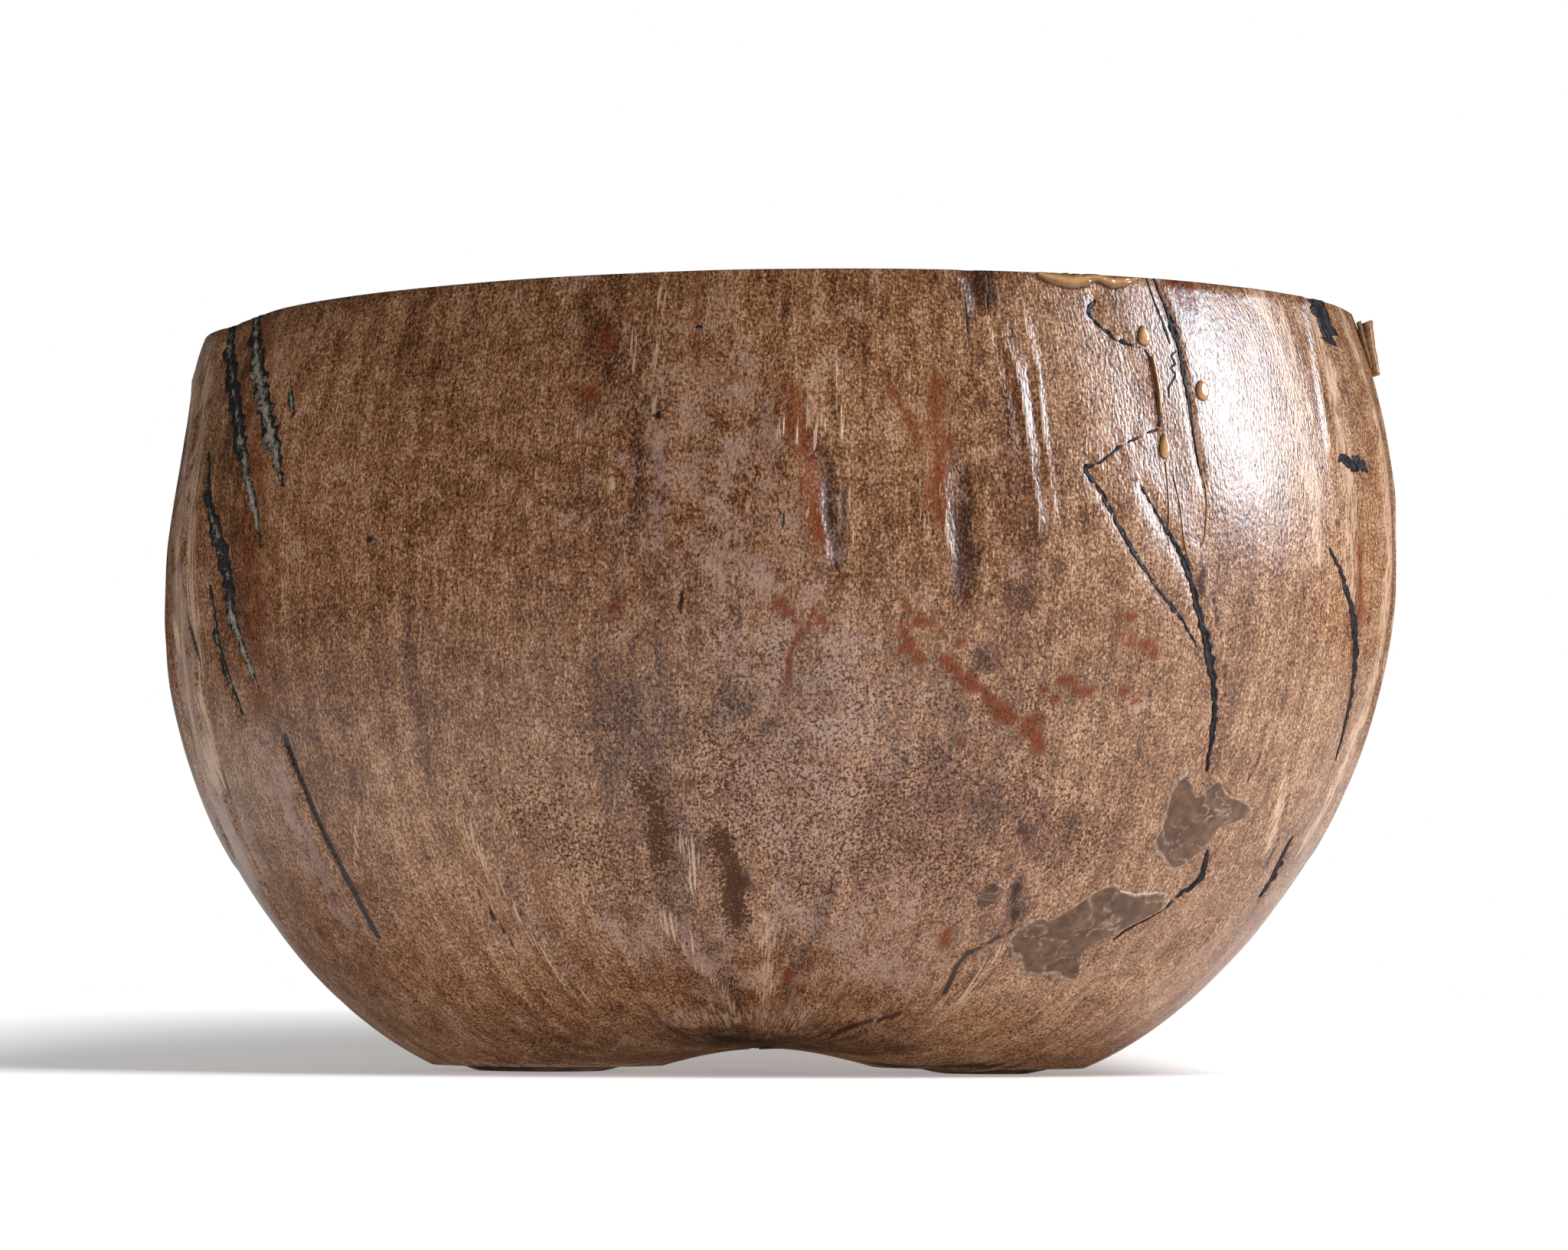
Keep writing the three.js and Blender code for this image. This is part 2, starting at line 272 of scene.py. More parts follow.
@dataclass(frozen=True)
class NutForm:
    """The double nut: an egg of two half heights with drawn-in shoulders, a lean, and a groove below."""

    length: float = 268.0
    depth: float = 184.0
    girth_height: float = 109.0
    lower_drop: float = 129.0
    crown_rise: float = 138.0
    fullness: float = 1.9
    lean: float = 0.03
    cleft_lift: float = 25.3
    cleft_shift: float = -2.0
    cleft_half_width: float = 49.8
    cleft_fade: float = 3.0
    rim_height: float = 162.0
    rim_slope: float = 0.0119
    rim_wear: float = 3.2
    wear_from: float = 100.0
    wear_span: float = 26.0
    skin: float = 1.6
    bond: float = 0.3
    wall: float = 7.5
    floor: float = 9.0
    floor_rounding: float = 6.0
    skin_foot_gap: float = 1.2

    def point(self, bearing: Array, latitude: Array, inset: float = 0.0) -> Array:
        """Point of a layer of the nut.

        A superellipse in plan, drawn in by the cosine of the latitude, raised by its sine, leaned
        sideways, and lifted under its middle by a bell curve that dies out up the wall.

        Args:
            bearing: Turn round the nut in radians.
            latitude: Angle above the girth in radians.
            inset: How far the layer lies under the skin.

        Returns:
            Points with three coordinates on the last axis.
        """
        across = np.cos(bearing)
        along = np.sin(bearing)
        reach = (np.abs(across) ** self.fullness + np.abs(along) ** self.fullness) ** (-1 / self.fullness)
        girth = np.cos(latitude) * reach
        level = (np.where(latitude < 0, self.lower_drop, self.crown_rise) - inset) * np.sin(latitude)
        x = (self.length / 2 - inset) * girth * across + self.lean * level
        y = (self.depth / 2 - inset) * girth * along
        bell = np.exp(-(((x - self.cleft_shift) / self.cleft_half_width) ** 2))
        lift = self.cleft_lift * bell * np.maximum(-np.sin(latitude), 0.0) ** self.cleft_fade
        return np.stack([x, y, self.girth_height + level + lift], axis=-1)

    def hollow(self, bearing: Array, latitude: Array) -> Array:
        """Point of the hollow: the inner layer, raised by a soft step where it comes too near the feet."""
        point = self.point(bearing, latitude, self.skin + self.bond + self.wall)
        above = point[..., 2] - self.floor
        point[..., 2] = self.floor + (above + np.hypot(above, self.floor_rounding)) / 2
        return point

    def normal(self, bearing: Array, latitude: Array) -> Array:
        """Outward direction of the skin: the cross product of its slopes round and up the nut."""
        step = 1e-3
        around = self.point(bearing + step, latitude) - self.point(bearing - step, latitude)
        up = self.point(bearing, latitude + step) - self.point(bearing, latitude - step)
        out = np.cross(around, up)
        return out / np.maximum(np.linalg.norm(out, axis=-1, keepdims=True), 1e-9)

    def per_degree(self, bearing: Array, latitude: Array) -> Array:
        """Millimetres along the skin for each degree of bearing."""
        step = 1e-3
        around = self.point(bearing + step, latitude) - self.point(bearing - step, latitude)
        return np.linalg.norm(around, axis=-1) / (2 * step) * pi / 180

    def latitude_at(self, bearing: Array, height: Array) -> Array:
        """Latitude where the skin has a height in percent of the rim's, by halving the span 40 times."""
        low = np.full(np.broadcast(bearing, height).shape, -pi / 2)
        high = np.full_like(low, pi / 2)
        for _ in range(40):
            middle = (low + high) / 2
            under = self.point(bearing, middle)[..., 2] < height / 100 * self.rim_height
            low = np.where(under, middle, low)
            high = np.where(under, high, middle)
        return low

    def rim_latitude(self, bearing: Array, inset: float, drop: Array | float = 0.0) -> Array:
        """Latitude where a layer meets the saw cut, or a level that drops below it, by halving the span."""
        low = np.full(bearing.shape, -0.5)
        high = np.full_like(low, pi / 2)
        for _ in range(40):
            middle = (low + high) / 2
            point = self.point(bearing, middle, inset)
            under = point[..., 2] < self.rim_level(point[..., 0]) - drop
            low = np.where(under, middle, low)
            high = np.where(under, high, middle)
        return low

    def rim_level(self, x: Array) -> Array:
        """Height of the saw cut at a distance to the right, worn down towards the left end."""
        worn = np.maximum((-x - self.wear_from) / self.wear_span, 0.0) ** 1.6
        return self.rim_height + self.rim_slope * x - self.rim_wear * np.minimum(worn, 1.2)


NUT = NutForm()
UPWARD = NUT.rim_height / 100


@dataclass(frozen=True)
class Spots:
    """Places on the skin, with the millimetres that a degree of bearing spans there."""

    bearing: Array
    height: Array
    per_degree: Array


@dataclass(frozen=True)
class Stroke:
    """A soft mark along a path of places: it fades with the squared distance, and its edge may wander."""

    path: Path
    half_width: float
    strength: float = 1.0
    ragged: float = 0.0

    def cover(self, spots: Spots) -> Array:
        """How much of the mark lies on each spot.

        The distance to the nearest stretch of the path, in millimetres on the skin, over the half width, goes
        into exp(-d²). Ragged noise of a few millimetres widens and narrows the mark.

        Args:
            spots: Where to look.

        Returns:
            The strength times a number from 0 to 1 for each spot.
        """
        cover = np.zeros(spots.bearing.shape)
        places = np.array(self.path)
        reach = 4.0 * self.half_width
        low = places.min(axis=0)
        high = places.max(axis=0)
        wide = reach / 0.6
        near = (spots.bearing > low[0] - wide) & (spots.bearing < high[0] + wide)
        near &= (spots.height > low[1] - reach / UPWARD) & (spots.height < high[1] + reach / UPWARD)
        if not near.any():
            return cover
        scale = spots.per_degree[near]
        u = spots.bearing[near]
        v = spots.height[near]
        closest = np.full(u.shape, np.inf)
        ends = np.concatenate([places[1:], places[-1:]]) if len(places) > 1 else places
        for start, end in zip(places, ends):
            run = (end[0] - start[0]) * scale
            climb = (end[1] - start[1]) * UPWARD
            du = (u - start[0]) * scale
            dv = (v - start[1]) * UPWARD
            share = np.clip((du * run + dv * climb) / np.maximum(run ** 2 + climb ** 2, 1e-9), 0.0, 1.0)
            closest = np.minimum(closest, np.hypot(du - share * run, dv - share * climb))
        wander = 1.0 + self.ragged * ripple(u * 2.1 / 2.5, v * UPWARD / 4.0, 17, 3)
        cover[near] = np.exp(-((closest / (self.half_width * np.maximum(wander, 0.15))) ** 2))
        return self.strength * cover


class SkinMark(Enum):
    """What a mark does to the skin: the first four are channels of one attribute, the rest of another. Scars
    include painted highlights, dark marks some painted shade, and the last channel is mostly painted shade.
    """

    RED = 0
    GOLD = 1
    GREY = 2
    DARK = 3
    SCAR_AND_HIGHLIGHT = 4
    WINE = 5
    FLECK = 6
    PAINTED_SHADE_AND_DARK_SKIN = 7


def strokes(half_width: float, strength: float, ragged: float, *paths: Path) -> tuple[Stroke, ...]:
    """Strokes of one width, strength and raggedness along several paths."""
    return tuple(Stroke(path, half_width, strength, ragged) for path in paths)


# Paths of the marks that show in relief as well as in colour

FURROW: Path = ((-83.4, 78), (-82.2, 74.5), (-81.9, 69), (-81.1, 63))
FURROW_LIP: Path = ((-81.6, 88), (-81.2, 81), (-80.9, 77), (-80.2, 71.5), (-80, 65))
FURROW_RIDGE: Path = ((-86.6, 80), (-85.1, 74), (-83.6, 68.5), (-82.6, 63))
HOLLOW: Path = ((-70.3, 75), (-70.1, 68.6), (-69.7, 61))
HOLLOW_LIP: Path = ((-74.2, 73), (-73.7, 68.6), (-72.4, 64))
RIDGE_LEFT: Path = ((-66.1, 92.1), (-64.9, 87.1), (-64.2, 81.5), (-63.8, 75), (-62.7, 68.2))
RIDGE_RIGHT: Path = ((-63.6, 95), (-62.7, 87.2), (-62.4, 81), (-62.2, 76), (-61.2, 69.3))
RIDGE_CREASE: Path = ((-67, 95), (-66, 87.6), (-65, 82), (-64.5, 77))
PALE_BAND: Path = ((-117.8, 32), (-116.3, 26.8), (-114.9, 21.2), (-113.5, 16.2), (-112.8, 10.7))
BROWN_FOLD: Path = ((-91, 30), (-89.8, 26.4), (-89.2, 19.9))
CLEFT_RIDGE: Path = ((-97.7, 20), (-95, 14.4), (-91.3, 10.4), (-90.3, 7.5))
OPEN_CRACK: Path = ((-140.1, 42.8), (-139.2, 36), (-138.5, 29.5), (-137.9, 23.5), (-138.4, 17.8))
SHORT_CRACK: Path = ((-119.2, 22.6), (-118.7, 19.6), (-117.9, 17))
WELT: Path = ((-60.7, 15.6), (-61.2, 13.9), (-60.8, 12.3), (-60.3, 10.4))
WELT_LIP: Path = ((-57.4, 15.7), (-58, 12.2), (-58.7, 9.5))
PIT: Path = ((-58.8, 23.8), (-57.4, 20.5))
FLUTE: Path = ((-164, 78), (-161.7, 70.5), (-158, 58), (-156.2, 50), (-157, 40), (-158.1, 32.3),
               (-160.5, 20.5))
FLUTE_RIDGE: Path = ((-171, 97), (-165, 85), (-162, 76.5), (-160.4, 64), (-161.5, 50), (-165, 36))
DRIP: Path = ((-22.9, 101), (-24.3, 93.8), (-25.3, 87), (-25.3, 81))

# Folds and cracks raise or sink the skin by their strength in millimetres

FOLDS = (
    # the deep furrow under the middle of the rim, its bright right lip and the ridges to its left
    *strokes(1.1, -0.75, 0.0, FURROW),
    *strokes(0.8, -0.4, 0.0, ((-80.7, 73), (-80.6, 66))),
    *strokes(0.6, 0.3, 0.0, FURROW_LIP),
    *strokes(2.6, 0.5, 0.0, FURROW_RIDGE),
    *strokes(0.7, 0.35, 0.0, ((-84.1, 83), (-83.3, 78)), ((-85.2, 83), (-84.9, 77)),
             ((-86.4, 82), (-86.6, 78))),
    # the second furrow
    *strokes(2.8, -0.85, 0.0, HOLLOW),
    *strokes(0.8, 0.2, 0.0, HOLLOW_LIP, ((-72.1, 75), (-71.6, 68.4), (-70.9, 63)),
             ((-68.3, 75), (-68, 63))),
    # the pair of bright ridges to its right
    *strokes(0.8, 0.35, 0.0, RIDGE_LEFT),
    *strokes(0.6, 0.22, 0.0, RIDGE_RIGHT),
    *strokes(0.6, -0.25, 0.0, RIDGE_CREASE, ((-63.7, 89), (-63.4, 82.5), (-62.6, 77))),
    # soft swellings left of the middle
    *strokes(1.6, -0.5, 0.0, ((-98.9, 84), (-98.3, 68))),
    *strokes(3.4, 0.5, 0.0, ((-96.6, 81), (-96, 68)), ((-90.7, 78), (-90.5, 70)),
             ((-101.5, 82), (-101, 70))),
    # folds that fan out of the cleft
    *strokes(2.4, 1.3, 0.0, PALE_BAND),
    *strokes(2.4, -0.8, 0.0, ((-114.3, 32), (-112, 22), (-110, 11)), ((-120.5, 30), (-118, 18), (-116, 9))),
    *strokes(1.6, -0.9, 0.0, BROWN_FOLD, ((-93.5, 17), (-90, 11), (-88.4, 7)),
             ((-74.5, 23), (-78.5, 13), (-81, 7))),
    *strokes(1.4, 1.0, 0.0, CLEFT_RIDGE, ((-94.5, 29), (-93.8, 24)), ((-78, 24), (-81, 14), (-84, 7))),
    *strokes(2.4, 0.8, 0.0, ((-107, 26), (-103, 14), (-101, 7)), ((-70, 20), (-75, 11), (-79, 6))),
    *strokes(2.0, 0.7, 0.0, ((-62, 10), (-68, 5)), ((-50, 9), (-42, 15), (-36, 21)),
             ((-36, 5), (-27, 11), (-21, 19))),
    *strokes(2.0, -0.6, 0.0, ((-102, 18), (-98, 9)), ((-66, 16), (-71, 8)),
             ((-44, 6), (-34, 12), (-27, 20))),
    # the left end stands out under the rim, with flutes that run down it
    *strokes(15.0, 2.6, 0.0, ((-192, 99), (-178, 98), (-168, 97))),
    *strokes(1.5, -1.3, 0.0, FLUTE),
    *strokes(1.3, -0.9, 0.0, ((-160.4, 74), (-161.6, 60.3), (-164.8, 48.4), (-167.7, 40.3))),
    *strokes(2.0, 0.8, 0.0,
             ((-168.5, 92), (-162.6, 85), (-159.8, 76), (-158, 64), (-158.6, 50), (-162, 36))),
    *strokes(2.2, -1.4, 0.0, ((-176, 92), (-170, 70), (-168, 52), (-169, 30)),
             ((-195, 94), (-190, 66), (-189, 40))),
    *strokes(3.0, 0.8, 0.0, ((-184, 94), (-179, 70), (-177, 50), (-179, 28))),
    # and the right end
    *strokes(2.2, 0.5, 0.0, ((-12, 92), (-9, 66), (-9, 36)), ((4, 92), (5, 60), (4, 30))),
    *strokes(2.4, -0.7, 0.0, ((-5, 90), (-4, 62), (-5, 34))),
    *strokes(0.7, 0.5, 0.0, DRIP),
    # back of the bowl, which the photograph doesn't show
    *strokes(2.4, -1.0, 0.0, ((98, 84), (100, 70), (101, 58)), ((68, 26), (78, 10)),
             ((-262, 30), (-268, 10))),
    *strokes(2.4, 0.8, 0.0, ((94, 82), (95, 66)), ((82, 24), (86, 9))),
    *strokes(2.8, -0.8, 0.0, ((78, 80), (80, 62))),
    # root-like welt and pit by the lower putty patch
    *strokes(1.3, -0.9, 0.0, WELT, PIT),
    *strokes(1.2, 0.8, 0.0, WELT_LIP, ((-61, 24.5), (-59.4, 20))),
)

SPLITS = (
    *strokes(0.95, -1.6, 0.0, OPEN_CRACK),
    *strokes(0.6, -1.2, 0.0, SHORT_CRACK),
    *strokes(0.6, 0.35, 0.0, ((-141.4, 38), (-140.2, 30), (-139.6, 22))),
    *strokes(0.5, -0.9, 0.0, ((-86.5, 97), (-86.4, 93.4)), ((-94.4, 60.4), (-94.3, 57.2)),
             ((-97.2, 82.4), (-97, 80.8))),
    # chip in the edge of the rim
    *strokes(1.7, -0.7, 0.0, ((-69, 101), (-68, 95.8))),
)

SKIN_MARKS: dict[SkinMark, tuple[Stroke, ...]] = {
    # rust-coloured scuffs across the belly, warm patches, and the smooth skin between the left fills
    SkinMark.RED: (
        *strokes(1.1, 1.0, 0.9,
                 ((-86.2, 58.4), (-84.3, 56.3)), ((-83.4, 57.6), (-81.9, 55.6), (-81.5, 54.4)),
                 ((-74.9, 59), (-74.7, 57.2), (-75.3, 55.9), (-74.3, 53.8)), ((-75.3, 52.9), (-72.9, 51.4)),
                 ((-73.7, 56.4), (-72, 55.5), (-70.7, 54), (-69, 53.6)), ((-71.1, 51.6), (-69.8, 49.9)),
                 ((-61, 48), (-59.2, 46.2)), ((-61.6, 44.4), (-59.2, 44.3)), ((-59.7, 49.4), (-56.3, 48)),
                 ((-54.4, 54.7), (-51.1, 54.2), (-48.8, 52.1)), ((-53.9, 57), (-52.5, 57.3)),
                 ((-53, 48.3), (-51, 47.3))),
        *strokes(1.6, 1.0, 1.0, ((-68.9, 49.2), (-66.5, 46.9), (-64.8, 45.2), (-62.7, 44), (-60.5, 41.1))),
        *strokes(0.8, 0.9, 0.8, ((-69, 41.8), (-65.9, 38.5)),
                 ((-83.3, 55.9), (-84.8, 52.1), (-84.8, 48.4))),
        *strokes(2.3, 0.8, 0.4, ((-100.4, 58.1),), ((-103.7, 85), (-103.2, 84)),
                 ((-102.6, 92.2), (-102.2, 91))),
        *strokes(2.0, 0.6, 0.4, ((-94.5, 101), (-93.9, 88)), ((-77, 86), (-74, 78))),
        *strokes(3.2, 0.75, 0.5, ((-72.5, 86), (-72.6, 80), (-72.2, 69)),
                 ((-85.5, 84), (-84, 76), (-82.6, 66))),
        *strokes(2.2, 0.8, 0.4, ((-45.6, 100), (-44.8, 97.4)), ((-43.2, 100), (-43.8, 97.5))),
        *strokes(6.5, 0.5, 0.5, ((-151, 100), (-144, 82), (-142, 64), (-143, 48))),
        *strokes(1.5, 0.95, 0.5, ((-82.5, 13),), ((-64.7, 18), (-64.4, 17))),
        *strokes(0.9, 0.9, 0.5, ((-85.5, 14.6),), ((-83.9, 15.3),), ((-94.6, 37), (-93.4, 36))),
        *strokes(2.4, 0.7, 0.6, ((-19.5, 68.6), (-18, 58.9))),
    ),
    # golden streaks at the right end, along the lower right and over the cleft
    SkinMark.GOLD: (
        *strokes(3.2, 0.7, 0.5,
                 ((-33, 101), (-30, 84), (-28, 66)), ((-22, 101), (-22, 84), (-21, 62)),
                 ((-2, 96), (-1, 70), (-1, 40)), ((-12, 101), (-10.5, 80), (-10, 56), (-11, 30))),
        *strokes(1.3, 0.8, 0.4, ((-28.9, 99), (-29.3, 94.2), (-28.9, 90), (-28.1, 85)),
                 ((-163.6, 60), (-162, 40))),
        *strokes(1.8, 0.8, 0.4, ((-25.4, 37.5), (-23.5, 33), (-21.5, 29))),
        *strokes(2.6, 0.6, 0.6, ((-100, 7.5), (-90, 7.5), (-78, 7)), ((-86, 20), (-85, 10))),
    ),
    # grey and mauve blooms
    SkinMark.GREY: (
        *strokes(2.8, 0.6, 0.6, ((-96.6, 79), (-96.2, 70)), ((-90.7, 77.3), (-90.7, 72.4)),
                 ((-88.8, 49.4),), ((-77, 53),)),
        *strokes(2.0, 0.5, 0.6, ((-87.4, 82), (-87.3, 78)), ((-91, 18.7), (-89.5, 13.5)),
                 ((-84, 29), (-84.5, 22))),
        *strokes(8.0, 0.4, 0.6, ((-84, 20), (-75.7, 17), (-68, 14)), ((-100, 18), (-92, 14)),
                 ((-46, 92), (-44, 78))),
        *strokes(6.0, 1.0, 0.4, FLUTE_RIDGE, ((-163, 48), (-163, 28)), ((-181, 98), (-176, 36))),
        *strokes(24.0, 0.32, 0.6, ((-94, 84), (-84, 52), (-80, 22))),
        *strokes(4.5, 0.5, 0.6, ((-143.5, 42), (-142.4, 30), (-142.6, 20))),
    ),
    # slits, crack floors and knots, darker floors of the furrow, flutes and welt, and painted shade with a
    # burnt look along the foot under the cleft
    SkinMark.DARK: (
        *strokes(1.1, 1.0, 0.2, OPEN_CRACK, ((-125.3, 67.3),), ((-97.1, 81.5),)),
        *strokes(0.5, 0.9, 0.3, SHORT_CRACK, ((-101.4, 15.2),), ((-60.9, 32.3),)),
        *strokes(0.42, 0.85, 0.6, ((-94.4, 60.4), (-94.3, 57.2)), ((-85.8, 69.4), (-85.7, 66.6)),
                 ((-100.4, 86), (-100.2, 84)), ((-117.9, 17), (-117.2, 14.5)),
                 ((-66.9, 100), (-67.2, 94.5)), ((-69.4, 97), (-69.3, 90))),
        *strokes(0.9, 0.9, 0.3, ((-37.1, 9.5),), ((-94.3, 92.9), (-93.7, 92.3)),
                 ((-94.2, 88.4), (-93.6, 88))),
        *strokes(0.9, 0.6, 0.6, ((-82.2, 74.5), (-81.9, 69), (-81.2, 64)), ((-80.7, 72.6), (-80.6, 67.3))),
        *strokes(0.8, 0.75, 0.5, FLUTE, WELT, ((-161.6, 60.3), (-164.8, 48.4), (-167.7, 40.3)),
                 ((-56, 18.9), (-58.2, 17.9), (-60.3, 15.8))),
        *strokes(1.2, 0.7, 0.5, ((-170, 70), (-168, 52), (-169, 30)), ((-190, 66), (-189, 40))),
        # painted shade with a burnt look along the foot under the cleft
        *strokes(1.3, 0.6, 0.8, ((-56, 1.2), (-30, 1)), ((-98, 4.6), (-86, 4.4), (-74, 3.6))),
        *strokes(0.6, 0.7, 0.6, ((-23.8, 85), (-23.6, 84)), ((-18.8, 93.8), (-18.8, 92)),
                 ((-11.6, 93.4), (-11.6, 92))),
        *strokes(0.7, 0.7, 0.6, ((-15, 43.4), (-14.2, 39.4)), ((-13.9, 38), (-13.2, 35.5)),
                 ((-75.5, 41.2), (-73, 38.6))),
    ),
    # pale scratches, and painted highlights: thin pale lines on the crests of ridges and lips, pale bands on
    # the cleft folds, and pale streaks that lighten the shaded left end
    SkinMark.SCAR_AND_HIGHLIGHT: (
        *strokes(0.6, 1.0, 0.5,
                 ((-100.1, 93.8), (-99.7, 87.3)), ((-97.9, 97.9), (-97, 84)), ((-98.2, 89), (-97.8, 86.7)),
                 ((-97.9, 83.6), (-97.3, 81)), ((-102.9, 81.8), (-102.7, 78)),
                 ((-101.1, 77), (-100.6, 72.6)), ((-104.1, 79.8), (-103.8, 77.4)),
                 ((-84.1, 82.6), (-83.3, 78)), ((-82.7, 84), (-82.5, 79.4)), ((-85.2, 82.6), (-84.9, 77.3)),
                 ((-86.3, 81.8), (-86.5, 78)), ((-131, 34), (-133, 30), (-134.8, 26.7))),
        *strokes(0.45, 0.9, 0.4, FURROW_LIP, HOLLOW_LIP, RIDGE_RIGHT, DRIP),
        *strokes(0.5, 0.9, 0.5, RIDGE_LEFT, ((-84.4, 71), (-83.3, 67)),
                 ((-72.1, 73), (-71.6, 68.4), (-70.9, 64))),
        *strokes(0.7, 1.0, 0.4, ((-57.3, 72.6), (-55.9, 69.9), (-54.5, 66.8), (-51.2, 61.5), (-49, 58.9))),
        *strokes(2.2, 0.75, 0.8, PALE_BAND, WELT_LIP, CLEFT_RIDGE, ((-94.5, 28.6), (-93.8, 24.3))),
        *strokes(0.9, 0.8, 0.3, ((-156, 1.4), (-140, 0.9), (-112, 1.2))),
        *strokes(3.6, 1.0, 0.4, FLUTE_RIDGE,
                 ((-164, 95), (-159, 84.5), (-157.4, 76), (-156, 64), (-156.6, 50), (-159, 38)),
                 ((-183, 97), (-178, 40))),
    ),
    # dark wine-coloured smears beside the pitch
    SkinMark.WINE: (
        *strokes(0.9, 0.9, 1.0, ((-53.3, 74.7), (-52, 73.2), (-50.3, 70), (-49, 67.6)),
                 ((-45.4, 65), (-44.5, 62.7)), ((-45.2, 62), (-43.8, 59.5)), ((-43.3, 60.6), (-42.3, 57)),
                 ((-40.8, 52), (-39.8, 48.3)), ((-28.7, 73.2), (-26.9, 69.3)), ((-25.4, 73.5),),
                 ((-24.9, 71.6), (-24.3, 70.8)), ((-70, 5.4), (-64.6, 8.3))),
        *strokes(0.6, 0.9, 0.8, ((-32.7, 45.8), (-32, 40.3), (-32.6, 37.2)),
                 ((-28.2, 37.4), (-27.3, 38.6), (-25, 39.2)),
                 ((-25, 39.2), (-23.2, 36), (-20.3, 30.2), (-19.6, 26.8))),
        *strokes(2.2, 0.7, 1.0, ((-86.8, 43.4), (-86, 43.4)), ((-68, 53), (-66.8, 50.4), (-64.1, 48.9)),
                 PIT),
        *strokes(2.0, 0.75, 1.0, ((-88.1, 24.8), (-87.8, 24)), ((-60.8, 31), (-59.6, 30))),
    ),
    # crowds of specks
    SkinMark.FLECK: (
        *strokes(3.0, 1.5, 0.6, BROWN_FOLD, ((-97.6, 36), (-96.7, 27.6))),
        *strokes(7.0, 0.8, 0.6, ((-82.2, 32), (-81.7, 25)), ((-77, 31), (-66, 27)),
                 ((-90.4, 45.4), (-92.8, 38))),
        *strokes(9.0, 0.7, 0.6, ((-110, 33), (-100, 24)), ((-62, 36), (-52, 30)),
                 ((-86, 52), (-74, 46), (-62, 46))),
    ),
    # painted shade: darker floors of the furrows, hollow, pit, folds and chip, a band with a burnt look along
    # the foot under the cleft, and broad soft darker patches over the belly and flanks; some of it is smooth
    # darker skin and dark clusters
    SkinMark.PAINTED_SHADE_AND_DARK_SKIN: (
        *strokes(1.8, 0.9, 0.4, FURROW, ((-98.9, 82), (-98.3, 69)), ((-69, 100), (-68.4, 96.6)),
                 BROWN_FOLD),
        *strokes(2.6, 0.9, 0.4, HOLLOW, PIT, ((-67.4, 100), (-68, 96.4)), ((-44.6, 100), (-44.6, 97))),
        *strokes(3.0, 0.8, 0.6, ((-104, 4.6), (-92, 3.8), (-80, 4), (-70, 3), (-58, 1.6)), ((-90.4, 45.4),),
                 ((-88.6, 45.7),)),
        *strokes(2.0, 0.6, 0.6, ((-93, 16), (-89, 9)), ((-79, 22), (-82, 12))),
        *strokes(7.0, 0.5, 0.8, ((-99, 44), (-97, 33), (-95, 24)), ((-70, 38), (-56, 29)),
                 ((-66, 84), (-64, 62))),
        *strokes(6.0, 0.5, 0.6, ((-152, 94), (-146, 74), (-145, 56)), ((-104, 96), (-100, 84))),
    ),
}


@dataclass(frozen=True)
class NutSurface:
    """The skin's outer face: the nut's form, moved in and out by lumps, folds, splits and grooves."""

    grooves: tuple[Stroke, ...]
    lump_height: float = 0.45
    lump_width: float = 26.0

    def spots(self, bearing: Array, latitude: Array) -> Spots:
        """Spots at bearings and latitudes in radians."""
        height = self.level(bearing, latitude)
        return Spots(np.degrees(bearing), height, NUT.per_degree(bearing, latitude))

    def level(self, bearing: Array, latitude: Array) -> Array:
        """Height in percent of the rim's."""
        return NUT.point(bearing, latitude)[..., 2] / UPWARD

    def rise(self, spots: Spots) -> Array:
        """Relief in millimetres: two sizes of soft lumps, plus every fold, split and groove."""
        turn = np.radians(spots.bearing)
        u = (np.cos(turn) * 110 + np.sin(turn) * 60) / self.lump_width
        v = spots.height * UPWARD / (self.lump_width * 1.5) + np.sin(turn) * 3
        rise = self.lump_height * ripple(u, v, 3, 3)
        for stroke in (*FOLDS, *SPLITS, *self.grooves):
            rise = rise + stroke.cover(spots)
        return rise

    def face(self, bearing: Array, latitude: Array) -> tuple[Array, Array]:
        """Points of the outer face and its directions outwards, at bearings and latitudes in radians."""
        normal = NUT.normal(bearing, latitude)
        point = NUT.point(bearing, latitude)
        rise = np.minimum(self.rise(self.spots(bearing, latitude)), self.room(point, normal))
        return point + normal * rise[..., None], normal

    def room(self, point: Array, normal: Array) -> Array:
        """Distance that a point may move outwards before it leaves the nut's length or depth."""
        half = np.array([NUT.length / 2, NUT.depth / 2])
        room = (half - np.abs(point[..., :2])) / np.maximum(np.abs(normal[..., :2]), 0.02)
        return room.min(axis=-1)

    def at_places(self, bearing: Array, height: Array, above: Array) -> Array:
        """Points over places of the skin, at distances above its outer face, none higher than the saw cut."""
        turn = np.radians(bearing)
        point, normal = self.face(turn, NUT.latitude_at(turn, height))
        point = point + normal * above[..., None]
        point[..., 2] = np.minimum(point[..., 2], NUT.rim_level(point[..., 0]))
        return point


# Finishes


